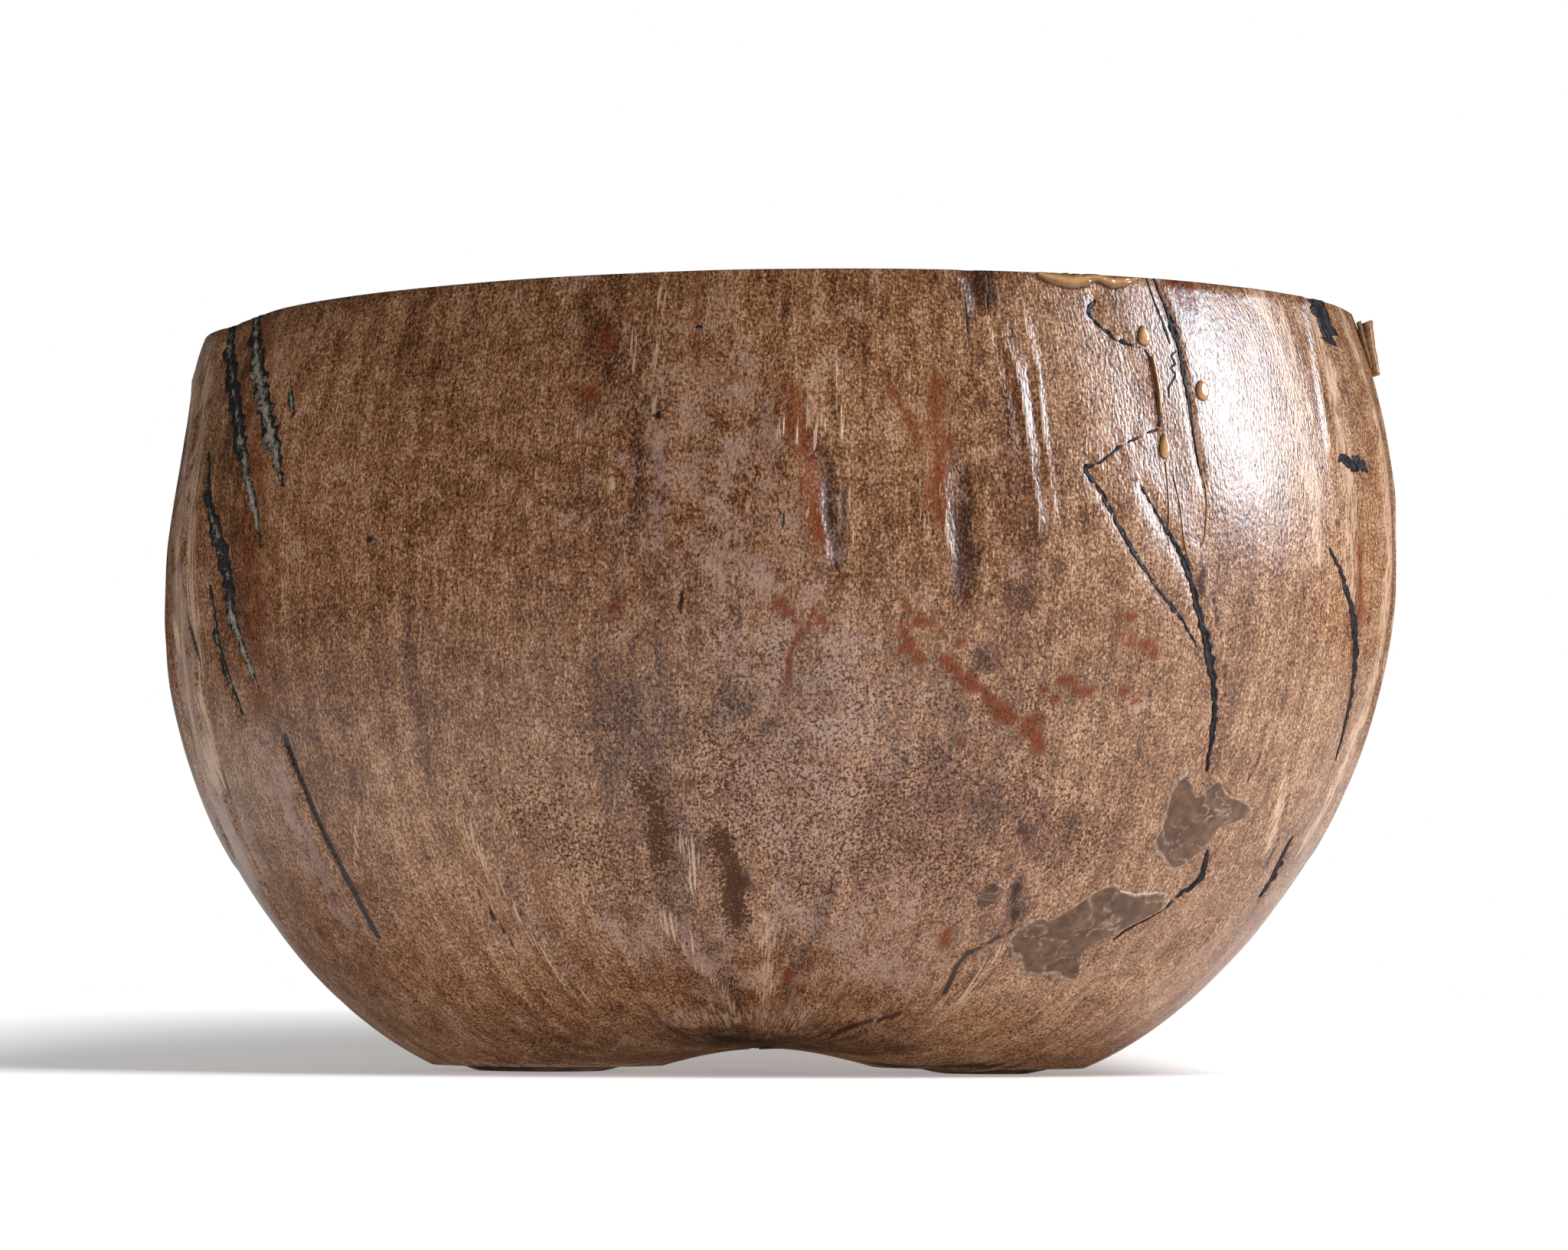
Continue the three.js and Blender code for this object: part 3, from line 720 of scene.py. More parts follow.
@dataclass(frozen=True)
class WaxedSkin:
    """Brown skin of the nut, scraped and waxed: fine speckle, upright fibres, blooms and a granular gloss."""

    name: str = "nut_skin_scraped_and_waxed"
    pepper: float = 0.34
    pebble: float = 0.52
    mottle: float = 0.58
    smudge: float = 6.0
    streak: float = 3.4
    cloud: float = 34.0
    fibre: float = 0.6
    line: float = 0.5
    shade: str = "#351a0b"
    body: str = "#6a4124"
    light: str = "#8b6140"
    pale: str = "#bf9c7c"
    rust: str = "#6a2a0c"
    gold: str = "#b9967a"
    bloom: str = "#94776a"
    # near-black of slits and knots, also painted shade along the foot under the cleft
    char_and_shade: str = "#190f0b"
    wine: str = "#351d1a"
    speck: str = "#42230d"
    # pale of the scratches, also used for painted highlights on crests
    scar_and_highlight: str = "#c2a58b"
    roughness: float = 0.28
    shine: float = 0.7
    matt_shine: float = 0.22
    tone_shift: float = -0.88

    def make(self) -> bpy.types.Material:
        """Builds the material: noises of many sizes pick a brown, and stains, flecks and scars lie over it.

        Each mark is an attribute that is soft in the mesh, painted shade and painted highlights among them.
        Noise is added to it and the sum cut off sharply, so the mark has a crisp, broken edge.
        """
        material, tree = blank_material(self.name)
        where = add(tree, "TexCoord").outputs["Object"]
        grain = add(tree, "Attribute", attribute_name="grain").outputs["Vector"]
        stain_and_painted_light = add(tree, "Attribute", attribute_name="stain_and_painted_light").outputs
        wear_and_painted_light = add(tree, "Attribute", attribute_name="wear_and_painted_light").outputs
        red, gold, grey = add(tree, "SeparateColor", {0: stain_and_painted_light["Color"]}).outputs
        scar_and_highlight, wine, fleck = add(tree, "SeparateColor", {0: wear_and_painted_light["Color"]}).outputs
        dashed, upright, long = [
            add(tree, "VectorMath", {0: grain, 1: (1.0, 1.0, squeeze)}, operation="MULTIPLY").outputs[0]
            for squeeze in (0.45, 0.13, 0.045)
        ]
        pepper, pebble, mottle, smudge, cloud, fibre, streak, line = [
            add(tree, "TexNoise", {
                "Vector": vector, "Scale": 1 / size, "Detail": detail, "Roughness": rough}).outputs[0]
            for vector, size, detail, rough in (
                (dashed, self.pepper, 2.0, 0.6),
                (dashed, self.pebble, 1.0, 0.4),
                (where, self.mottle * MM, 4.0, 0.7),
                (where, self.smudge * MM, 5.0, 0.65),
                (where, self.cloud * MM, 3.0, 0.5),
                (upright, self.fibre, 3.0, 0.6),
                (long, self.streak, 3.0, 0.5),
                (long, self.line, 1.0, 0.5),
            )
        ]
        tone = self.tone_shift
        # the last channel of the second attribute is painted shade, which darkens the tone
        for noise, weight in (
            (cloud, 0.2), (smudge, 0.38), (streak, 0.26), (fibre, 0.3), (pepper, 0.72), (mottle, 0.9),
            (wear_and_painted_light["Alpha"], -0.2),
        ):
            tone = add(tree, "Math", {0: noise, 1: weight, 2: tone}, operation="MULTIPLY_ADD").outputs[0]
        colour = add(tree, "ValToRGB", {0: tone}, stops=(
            (0.30, self.shade), (0.45, self.body), (0.57, self.light), (0.74, self.pale))).outputs[0]
        misty = add(tree, "Math", {0: pepper, 1: 1.6, 2: grey}, operation="MULTIPLY_ADD").outputs[0]
        crowd = add(tree, "Math", {0: smudge, 1: 0.5, 2: fleck}, operation="MULTIPLY_ADD").outputs[0]
        pits = add(tree, "Math", {0: mottle, 1: -1.0}, operation="MULTIPLY").outputs[0]
        marks = []
        # Noise times gain plus mask, cut off from low to high, is the share of the paint, at most the sixth
        for noise, gain, mask, low, high, most, paint in (
            (smudge, 1.8, misty, 1.9, 2.3, 0.7, self.bloom),
            (fibre, 2.0, gold, 1.4, 1.8, 0.8, self.gold),
            (mottle, 3.4, red, 2.25, 2.4, 0.85, self.rust),
            (crowd, 0.17, pits, -0.315, -0.28, 0.85, self.speck),
            # scar channel: pale scratches and painted highlights on crests
            (scar_and_highlight, 0.35, line, 0.76, 0.84, 0.6, self.scar_and_highlight),
            (mottle, 2.2, wine, 1.65, 1.8, 0.9, self.wine),
            (mottle, 0.9, stain_and_painted_light["Alpha"], 0.92, 1.08, 0.95, self.char_and_shade),
        ):
            mark = add(tree, "Math", {0: noise, 1: gain, 2: mask}, operation="MULTIPLY_ADD").outputs[0]
            mark = add(tree, "MapRange", {0: mark, 1: low, 2: high, 3: 0.0, 4: most}).outputs[0]
            colour = add(tree, "Mix", {0: mark, 6: colour, 7: linear(paint)}, data_type="RGBA").outputs[2]
            marks.append(mark)
        rusty, speckled, scarred_and_highlit, smeared, charred_and_shaded = marks[2:]
        gloss = add(tree, "MapRange", {
            0: mottle, 1: 0.3, 2: 0.7, 3: self.roughness - 0.06, 4: self.roughness + 0.1}).outputs[0]
        matt = rusty
        for mark in (speckled, smeared):
            matt = add(tree, "Math", {0: matt, 1: mark}, operation="MAXIMUM").outputs[0]
        shine = add(tree, "MapRange", {
            0: matt, 1: 0.0, 2: 0.85, 3: self.shine, 4: self.matt_shine}).outputs[0]
        relief = pebble
        for noise, weight in ((fibre, 0.25), (scarred_and_highlit, 0.5), (speckled, -0.4), (charred_and_shaded, -0.6)):
            relief = add(
                tree, "Math", {0: noise, 1: weight, 2: relief}, operation="MULTIPLY_ADD").outputs[0]
        bump = add(tree, "Bump", {"Strength": 0.7, "Distance": 0.18 * MM, "Height": relief}).outputs[0]
        shader = add(tree, "BsdfPrincipled", {
            "Base Color": colour, "Roughness": gloss, "Specular IOR Level": shine, "Normal": bump})
        add(tree, "OutputMaterial", {"Surface": shader.outputs[0]})
        return material


@dataclass(frozen=True)
class ScrapedShell:
    """Hard shell of the nut, sawn at the rim and scraped inside: dense dark fibres with dull gouge marks."""

    name: str = "nut_hard_shell_scraped"
    fibre: float = 0.9
    gouge: float = 7.0
    dark: str = "#2d1d14"
    brown: str = "#50372a"
    pale: str = "#7a5c46"
    sawn: str = "#4a3526"

    def make(self) -> bpy.types.Material:
        """Builds the material: fibres along the meridians, gouges across them, and a plain sawn edge."""
        material, tree = blank_material(self.name)
        grain = add(tree, "Attribute", attribute_name="grain").outputs["Vector"]
        sawn = add(tree, "Attribute", attribute_name="sawn").outputs["Fac"]
        upright = add(tree, "VectorMath", {0: grain, 1: (1.0, 1.0, 0.12)}, operation="MULTIPLY").outputs[0]
        fibre = add(tree, "TexNoise", {
            "Vector": upright, "Scale": 1 / self.fibre, "Detail": 5.0, "Roughness": 0.65}).outputs[0]
        gouge = add(tree, "TexNoise", {"Vector": grain, "Scale": 1 / self.gouge, "Detail": 4.0}).outputs[0]
        tone = add(tree, "Math", {0: gouge, 1: 0.8, 2: fibre}, operation="MULTIPLY_ADD").outputs[0]
        colour = add(tree, "ValToRGB", {0: tone}, stops=(
            (0.62, self.dark), (0.92, self.brown), (1.0, self.pale))).outputs[0]
        edge = add(tree, "MapRange", {0: fibre, 1: 0.3, 2: 0.7, 3: 0.5, 4: 1.0}).outputs[0]
        edge = add(tree, "Math", {0: edge, 1: sawn}, operation="MULTIPLY").outputs[0]
        colour = add(tree, "Mix", {0: edge, 6: colour, 7: linear(self.sawn)}, data_type="RGBA").outputs[2]
        gloss = add(tree, "MapRange", {0: fibre, 1: 0.3, 2: 0.7, 3: 0.45, 4: 0.65}).outputs[0]
        bump = add(tree, "Bump", {"Strength": 0.6, "Distance": 0.4 * MM, "Height": tone}).outputs[0]
        shader = add(tree, "BsdfPrincipled", {"Base Color": colour, "Roughness": gloss, "Normal": bump})
        add(tree, "OutputMaterial", {"Surface": shader.outputs[0]})
        return material


@dataclass(frozen=True)
class GreyGrout:
    """Mineral filler pressed into a split: gritty grey in the middle, blackened where it meets the skin."""

    name: str = "mineral_grout_grey"
    grit: float = 0.55
    grey: str = "#a39a8b"
    dull: str = "#645b4e"
    black: str = "#1a1512"

    def make(self) -> bpy.types.Material:
        """Builds the material: grit picks a grey, and the edge attribute with noise turns the sides black."""
        material, tree = blank_material(self.name)
        where = add(tree, "TexCoord").outputs["Object"]
        edge = add(tree, "Attribute", attribute_name="edge").outputs["Fac"]
        grit = add(tree, "TexNoise", {
            "Vector": where, "Scale": 1 / (self.grit * MM), "Detail": 4.0, "Roughness": 0.7}).outputs[0]
        broad = add(tree, "TexNoise", {"Vector": where, "Scale": 1 / (2.0 * MM), "Detail": 3.0}).outputs[0]
        colour = add(tree, "ValToRGB", {0: grit}, stops=((0.35, self.dull), (0.62, self.grey))).outputs[0]
        side = add(tree, "Math", {0: broad, 1: 2.2, 2: edge}, operation="MULTIPLY_ADD").outputs[0]
        side = add(tree, "Math", {0: grit, 1: 3.4, 2: side}, operation="MULTIPLY_ADD").outputs[0]
        side = add(tree, "MapRange", {0: side, 1: 3.0, 2: 3.35, 3: 0.0, 4: 1.0}).outputs[0]
        colour = add(tree, "Mix", {0: side, 6: colour, 7: linear(self.black)}, data_type="RGBA").outputs[2]
        bump = add(tree, "Bump", {"Strength": 0.8, "Distance": 0.4 * MM, "Height": grit}).outputs[0]
        shader = add(tree, "BsdfPrincipled", {"Base Color": colour, "Roughness": 0.62, "Normal": bump})
        add(tree, "OutputMaterial", {"Surface": shader.outputs[0]})
        return material


@dataclass(frozen=True)
class BlackPitch:
    """Pitch melted into a crack: black with a purple cast, lumpy, and glossy where it set smooth."""

    name: str = "pitch_melted"
    lump: float = 1.6
    black: str = "#120d0e"
    purple: str = "#2b2126"

    def make(self) -> bpy.types.Material:
        """Builds the material: lumps pick between black and purple and break the gloss."""
        material, tree = blank_material(self.name)
        where = add(tree, "TexCoord").outputs["Object"]
        lump = add(tree, "TexNoise", {
            "Vector": where, "Scale": 1 / (self.lump * MM), "Detail": 4.0, "Roughness": 0.65}).outputs[0]
        colour = add(tree, "ValToRGB", {0: lump}, stops=((0.4, self.black), (0.7, self.purple))).outputs[0]
        gloss = add(tree, "MapRange", {0: lump, 1: 0.3, 2: 0.7, 3: 0.3, 4: 0.6}).outputs[0]
        bump = add(tree, "Bump", {"Strength": 0.6, "Distance": 0.4 * MM, "Height": lump}).outputs[0]
        shader = add(tree, "BsdfPrincipled", {
            "Base Color": colour, "Roughness": gloss, "Specular IOR Level": 0.16, "Normal": bump})
        add(tree, "OutputMaterial", {"Surface": shader.outputs[0]})
        return material


@dataclass(frozen=True)
class BrownPutty:
    """Wax putty pressed on with a thumb: smooth brown, with paler lips and smears."""

    name: str = "wax_putty_brown"
    smear: float = 2.2
    brown: str = "#452b1a"
    tan: str = "#644329"
    pale: str = "#b0917a"

    def make(self) -> bpy.types.Material:
        """Builds the material: smears pick between two browns, and the edge attribute lightens the lips."""
        material, tree = blank_material(self.name)
        where = add(tree, "TexCoord").outputs["Object"]
        edge = add(tree, "Attribute", attribute_name="edge").outputs["Fac"]
        smear = add(tree, "TexNoise", {
            "Vector": where, "Scale": 1 / (self.smear * MM), "Detail": 4.0, "Roughness": 0.6}).outputs[0]
        fine = add(tree, "TexNoise", {"Vector": where, "Scale": 1 / (0.7 * MM), "Detail": 3.0}).outputs[0]
        colour = add(tree, "ValToRGB", {0: smear}, stops=((0.4, self.brown), (0.66, self.tan))).outputs[0]
        # the lips and the flanks of the lumps turn pale: pale wax, and a painted highlight where the raised
        # lip catches the light
        lip = add(tree, "MapRange", {0: fine, 1: 0.35, 2: 0.65, 3: 0.1, 4: 0.75}).outputs[0]
        lip = add(tree, "Math", {0: lip, 1: edge}, operation="MULTIPLY").outputs[0]
        colour = add(tree, "Mix", {0: lip, 6: colour, 7: linear(self.pale)}, data_type="RGBA").outputs[2]
        relief = add(tree, "Math", {0: fine, 1: 0.4, 2: smear}, operation="MULTIPLY_ADD").outputs[0]
        bump = add(tree, "Bump", {"Strength": 0.5, "Distance": 0.3 * MM, "Height": relief}).outputs[0]
        gloss = add(tree, "MapRange", {0: smear, 1: 0.3, 2: 0.7, 3: 0.34, 4: 0.5}).outputs[0]
        shader = add(tree, "BsdfPrincipled", {"Base Color": colour, "Roughness": gloss, "Normal": bump})
        add(tree, "OutputMaterial", {"Surface": shader.outputs[0]})
        return material


@dataclass(frozen=True)
class AmberLacquer:
    """Shellac that ran and set in drops: clear amber, darkest at its edges, with a hard wet gloss."""

    name: str = "shellac_amber"
    cloud: float = 3.0
    amber: str = "#a87c50"
    deep: str = "#5f3a1e"

    def make(self) -> bpy.types.Material:
        """Builds the material: clouds and the edge attribute deepen the amber under a clear coat."""
        material, tree = blank_material(self.name)
        where = add(tree, "TexCoord").outputs["Object"]
        edge = add(tree, "Attribute", attribute_name="edge").outputs["Fac"]
        cloud = add(tree, "TexNoise", {
            "Vector": where, "Scale": 1 / (self.cloud * MM), "Detail": 3.0}).outputs[0]
        deep = add(tree, "Math", {0: cloud, 1: 0.5, 2: edge}, operation="MULTIPLY_ADD").outputs[0]
        colour = add(tree, "ValToRGB", {0: deep}, stops=((0.35, self.amber), (1.1, self.deep))).outputs[0]
        gloss = add(tree, "MapRange", {0: cloud, 1: 0.3, 2: 0.7, 3: 0.1, 4: 0.2}).outputs[0]
        shader = add(tree, "BsdfPrincipled", {
            "Base Color": colour, "Roughness": gloss, "IOR": 1.52, "Coat Weight": 0.6,
            "Coat Roughness": 0.06})
        add(tree, "OutputMaterial", {"Surface": shader.outputs[0]})
        return material


@dataclass(frozen=True)
class PaperFloor:
    """White studio paper: matt, and faded out towards its edge so that it runs into the background."""

    name: str = "studio_paper_white"
    white: str = "#f2f2f2"
    glow: float = 0.3
    bounce: float = 0.6
    fade_from: float = 0.55
    fade_to: float = 1.1

    def make(self) -> bpy.types.Material:
        """Builds the material: matt white with a little glow, see-through beyond a distance from the bowl."""
        material, tree = blank_material(self.name)
        where = add(tree, "TexCoord").outputs["Object"]
        far = add(tree, "VectorMath", {0: where}, operation="LENGTH").outputs["Value"]
        gone = add(tree, "MapRange", {0: far, 1: self.fade_from, 2: self.fade_to, 3: 0.0, 4: 1.0},
                   interpolation_type="SMOOTHSTEP").outputs[0]
        paper = add(tree, "BsdfDiffuse", {"Color": linear(self.white)}).outputs[0]
        path = add(tree, "LightPath").outputs
        # the paper glows to the camera: weaker within about 0.2 m of the bowl, so the floor under and beside
        # it shows darker there, and full farther off
        glow = add(tree, "MapRange", {0: far, 1: 0.18, 2: 0.45, 3: self.glow, 4: 0.9},
                   interpolation_type="SMOOTHSTEP").outputs[0]
        # on diffuse rays the paper glows too, lighting the bowl from below in place of light bounced off the
        # paper
        bounce = add(tree, "MapRange", {0: far, 1: 0.03, 2: 0.16, 3: 0.5, 4: self.bounce}).outputs[0]
        bounce = add(tree, "Math", {0: bounce, 1: path["Is Diffuse Ray"]}, operation="MULTIPLY").outputs[0]
        glow = add(tree, "Mix", {0: path["Is Camera Ray"], 2: bounce, 3: glow}).outputs[0]
        glow = add(tree, "Emission", {"Strength": glow}).outputs[0]
        paper = add(tree, "AddShader", {0: paper, 1: glow}).outputs[0]
        clear = add(tree, "BsdfTransparent").outputs[0]
        surface = add(tree, "MixShader", {0: gone, 1: paper, 2: clear}).outputs[0]
        add(tree, "OutputMaterial", {"Surface": surface})
        return material


# Pieces


@dataclass(frozen=True)
class Shell:
    """The two layers of the nut: the hard shell that carries everything, and the brown skin round it."""

    surface: NutSurface
    columns: int = 660
    rows: int = 132
    inner_rows: int = 6
    shell_columns: int = 320
    shell_rows: int = 40
    hollow_rows: int = 90
    rim_bevel: float = 0.35
    grain_radius: float = 112.0

    def bearings(self) -> Array:
        """Bearings of the skin's columns in radians: equal shares of a density, high at the cracks."""
        fine = np.linspace(-270.0, 90.0, 3601)
        density = np.where(np.abs(fine + 88) < 100, 1.6, 0.6)
        density = density + 1.6 * (np.abs(fine + 149) < 14) + 1.4 * (np.abs(fine + 51) < 12)
        density = density + 1.4 * (np.abs(fine + 76) < 16) + 2.0 * (np.abs(fine + 138.6) < 2.5)
        total = np.concatenate([[0.0], np.cumsum((density[1:] + density[:-1]) / 2)])
        shares = np.linspace(0.0, total[-1], self.columns + 1)[:-1]
        return np.radians(np.interp(shares, total, fine))

    def grain(self, bearing: Array, points: Array) -> Array:
        """Place along the grain in millimetres: round a cylinder by the bearing, and up the meridian."""
        steps = np.linalg.norm(np.diff(points, axis=0), axis=-1)
        length = np.concatenate([np.zeros((1, points.shape[1])), np.cumsum(steps, axis=0)])
        radius = np.full(bearing.shape, self.grain_radius)
        return np.stack([radius * np.cos(bearing), radius * np.sin(bearing), length], axis=-1)

    def flecks(self, spots: Spots) -> Array:
        """How thick the dark flecks lie: thickest in a wide belt across the belly, thinner to the sides."""
        across = (spots.bearing + 80) * 1.9 / 70
        up = (spots.height - 36) * UPWARD / 44
        belt = np.exp(-(across ** 2 + up ** 2)) - 0.3
        return belt + 0.2 * ripple(spots.bearing / 6, spots.height / 9, 5, 2)

    def skin_marks(self, spots: Spots) -> Array:
        """All channels of the marks, painted shade and highlights among them, each the strongest of its marks
        on the spot.
        """
        channels = np.zeros((*spots.bearing.shape, len(SkinMark)))
        channels[..., SkinMark.FLECK.value] = self.flecks(spots)
        for stain_and_painted_light, marks in SKIN_MARKS.items():
            channel = channels[..., stain_and_painted_light.value]
            for stroke in marks:
                np.maximum(channel, stroke.cover(spots), out=channel)
        return channels

    def skin(self) -> bpy.types.Object:
        """Builds the brown skin: its outer face, a bevelled rim and a plain inner face, cut at the foot."""
        bearing = self.bearings()
        wave = 0.12 * ripple(np.degrees(bearing) / 2.5, np.zeros(bearing.shape), 29, 2)
        top = NUT.rim_latitude(bearing, 0.0, self.rim_bevel + np.maximum(wave, 0.0))
        share = np.linspace(0.0, 1.0, self.rows + 1)[1:, None]
        latitude = -pi / 2 + share * (top + pi / 2)
        turn = np.broadcast_to(bearing, latitude.shape)
        outer, _ = self.surface.face(turn, latitude)
        spots = self.surface.spots(turn, latitude)
        inner_top = NUT.rim_latitude(bearing, NUT.skin)
        lip = NUT.point(bearing, NUT.rim_latitude(bearing, self.rim_bevel), self.rim_bevel)[None]
        lip = lip + (outer[-1:] - NUT.point(bearing, top)[None]) * np.array([1.0, 1.0, 0.0])
        down = np.linspace(1.0, 0.0, self.inner_rows + 1)[:-1, None]
        inner_latitude = -pi / 2 + down * (inner_top + pi / 2)
        inner = NUT.point(np.broadcast_to(bearing, inner_latitude.shape), inner_latitude, NUT.skin)
        rings = np.concatenate([outer, lip, inner])
        poles = [NUT.point(np.array(0.0), np.array(-pi / 2), inset) for inset in (0.0, NUT.skin)]
        points, faces = ring_stack(rings, poles[0], poles[1])
        rest = len(points) - spots.bearing.size
        repeat = np.concatenate([np.tile(np.arange(self.columns), self.inner_rows + 1), [0, 0]])
        last = (self.rows - 1) * self.columns
        grain = self.grain(turn, outer).reshape(-1, 3)
        stain_and_painted_light = self.skin_marks(spots).reshape(-1, len(SkinMark))
        grain = np.concatenate([grain, grain[last + repeat[:rest]]])
        grain[-2:] = grain[0]
        stain_and_painted_light = np.concatenate([stain_and_painted_light, stain_and_painted_light[last + repeat[:rest]]])
        stain_and_painted_light[-2:] = stain_and_painted_light[0]
        attributes = {"grain": grain, "stain_and_painted_light": stain_and_painted_light[:, :4], "wear_and_painted_light": stain_and_painted_light[:, 4:]}
        piece = make_piece("skin_brown", points, faces, attributes)
        cut_level(piece, NUT.skin_foot_gap, 50.0)
        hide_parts("brown_skin")
        piece.data.materials.append(WaxedSkin().make())
        return piece

    def hard_shell(self) -> bpy.types.Object:
        """Builds the hard shell: its outside under the skin, the sawn rim and the hollow, cut flat below."""
        bearing = np.radians(np.linspace(-270.0, 90.0, self.shell_columns + 1)[:-1])
        under = NUT.skin + NUT.bond
        inside = under + NUT.wall
        top = NUT.rim_latitude(bearing, under)
        share = np.linspace(0.0, 1.0, self.shell_rows + 1)[1:, None]
        latitude = -pi / 2 + share * (top + pi / 2)
        outer = NUT.point(np.broadcast_to(bearing, latitude.shape), latitude, under)
        hollow_top = NUT.rim_latitude(bearing, inside)
        down = np.linspace(1.0, 0.0, self.hollow_rows + 1)[:-1, None]
        hollow_latitude = -pi / 2 + down * (hollow_top + pi / 2)
        turn = np.broadcast_to(bearing, hollow_latitude.shape)
        hollow = NUT.hollow(turn, hollow_latitude)
        angle = np.degrees(turn)
        scrape = 0.5 * ripple(np.cos(turn) * 9 + np.sin(turn) * 5, down * 9 + np.sin(turn), 41, 3)
        scrape = scrape * ease(0.0, 0.06, 1.0 - down) + 0.15 * ripple(angle / 1.6, down * 6, 43)
        hollow = hollow + NUT.normal(turn, hollow_latitude) * np.minimum(scrape, 0.8)[..., None]
        hollow[0, :, 2] = NUT.rim_level(hollow[0, :, 0]) - self.rim_bevel
        mid = np.array([0.03, 0.35, 0.7, 0.95])[:, None, None]
        edge = outer[-1:] * (1 - mid) + hollow[:1] * mid
        saw = 0.06 * ripple(edge[..., 0] / 1.2, edge[..., 1] / 9, 47, 2)
        edge[..., 2] = NUT.rim_level(edge[..., 0]) + np.minimum(saw, 0.0)
        rings = np.concatenate([outer, edge, hollow])
        poles = [
            NUT.point(np.array(0.0), np.array(-pi / 2), under),
            NUT.hollow(np.array(0.0), np.array(-pi / 2)),
        ]
        points, faces = ring_stack(rings, poles[0], poles[1])
        sawn = np.zeros(len(rings))
        sawn[self.shell_rows - 1:self.shell_rows + len(mid) + 1] = 1.0
        grain = self.grain(np.broadcast_to(bearing, rings.shape[:2]), rings).reshape(-1, 3)
        attributes = {
            "grain": np.concatenate([grain, grain[:1], grain[-1:]]),
            "sawn": np.concatenate([np.repeat(sawn, self.shell_columns), [0.0, 0.0]]),
        }
        piece = make_piece("shell_hard", points, faces, attributes)
        cut_level(piece, 0.0, 40.0)
        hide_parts("hard_shell")
        piece.data.materials.append(ScrapedShell().make())
        return piece


@dataclass(frozen=True)
class Bead:
    """How a ribbon sits on the skin: its depth, its height at the sides and middle, and how rough it is."""

    sink: float
    side: float
    crown: float
    rough: float
    wander: float


GROUT_BEAD = Bead(sink=0.9, side=-0.15, crown=0.45, rough=0.22, wander=0.6)
PITCH_BEAD = Bead(sink=0.8, side=-0.05, crown=0.4, rough=0.14, wander=0.6)
HAIR_BEAD = Bead(sink=0.3, side=0.02, crown=0.1, rough=0.02, wander=0.4)
TRAIL_BEAD = Bead(sink=0.3, side=0.1, crown=0.85, rough=0.08, wander=0.2)
THREAD_BEAD = Bead(sink=0.2, side=0.02, crown=0.2, rough=0.02, wander=0.3)
SLIVER_BEAD = Bead(sink=1.5, side=0.8, crown=0.5, rough=0.1, wander=0.25)
INNER_SLIVER_BEAD = Bead(sink=0.5, side=0.3, crown=0.2, rough=0.1, wander=0.25)
GROOVE_DEPTH = 0.5
GROOVE_MARGIN = 0.3


@dataclass(frozen=True)
class Ribbons:
    """Narrow mends that follow the skin: fills in cracks, trails of lacquer and the sprung splinter."""

    surface: NutSurface
    steps: int = 14
    sides: int = 13

    def ribbon(self, name: str, stations: Path, bead: Bead, lift: Array | float = 0.0) -> bpy.types.Object:
        """Builds a closed ribbon along places of the skin.

        Its centre line is a smooth curve through the stations, its half width theirs with noise on
        either side, and its section a flat-topped dome of height side + crown (1 - s⁴) over a
        straight underside.

        Args:
            name: Name of the piece.
            stations: Bearing, height and half width at each station, and soot where it has any.
            bead: How it sits.
            lift: Extra distance from the skin along the ribbon, from its first station to its last.

        Returns:
            The new piece, with an edge attribute: 0 along its middle and 1 at its sides, plus the soot.
        """
        line = spline(stations, self.steps)
        bearing, height, half = line.T[:3]
        soot = line.T[3:].sum(axis=0)
        half = np.maximum(half, 0.08)
        turn = np.radians(bearing)
        scale = NUT.per_degree(turn, NUT.latitude_at(turn, height))
        run = np.gradient(bearing) * scale
        climb = np.gradient(height) * UPWARD
        pace = np.maximum(np.hypot(run, climb), 1e-6)
        walked = np.cumsum(pace)
        s = np.linspace(-1.0, 1.0, self.sides)
        left = 1.0 + bead.wander * ripple(walked / 1.3, np.zeros(len(line)) + 0.3, 53, 3)
        right = 1.0 + bead.wander * ripple(walked / 1.3, np.zeros(len(line)) + 7.3, 59, 3)
        wide = half[:, None] * np.where(s < 0, left[:, None], right[:, None]) * s
        top = bead.side + bead.crown * (1 - s ** 4) + np.zeros((len(line), 1))
        top = top + bead.rough * ripple(walked[:, None] / 0.9, wide / 0.7, 61, 2) * (1 - s ** 6)
        wide = np.concatenate([wide, wide[:, ::-4] * 0.9], axis=1)
        above = np.concatenate([top, np.full((len(line), wide.shape[1] - self.sides), -bead.sink)], axis=1)
        above = above + np.broadcast_to(lift, (len(line),))[:, None]
        around = bearing[:, None] - climb[:, None] / pace[:, None] * wide / scale[:, None]
        up = height[:, None] + run[:, None] / pace[:, None] * wide / UPWARD
        rings = self.surface.at_places(around, up, above)
        points, faces = ring_stack(rings, rings[0].mean(axis=0), rings[-1].mean(axis=0))
        edge = np.concatenate([np.abs(s), np.ones(wide.shape[1] - self.sides)]) + soot[:, None]
        piece = make_piece(name, points, faces, {"edge": np.concatenate([edge.ravel(), [1.0, 1.0]])})
        turn_outwards(piece)
        return piece


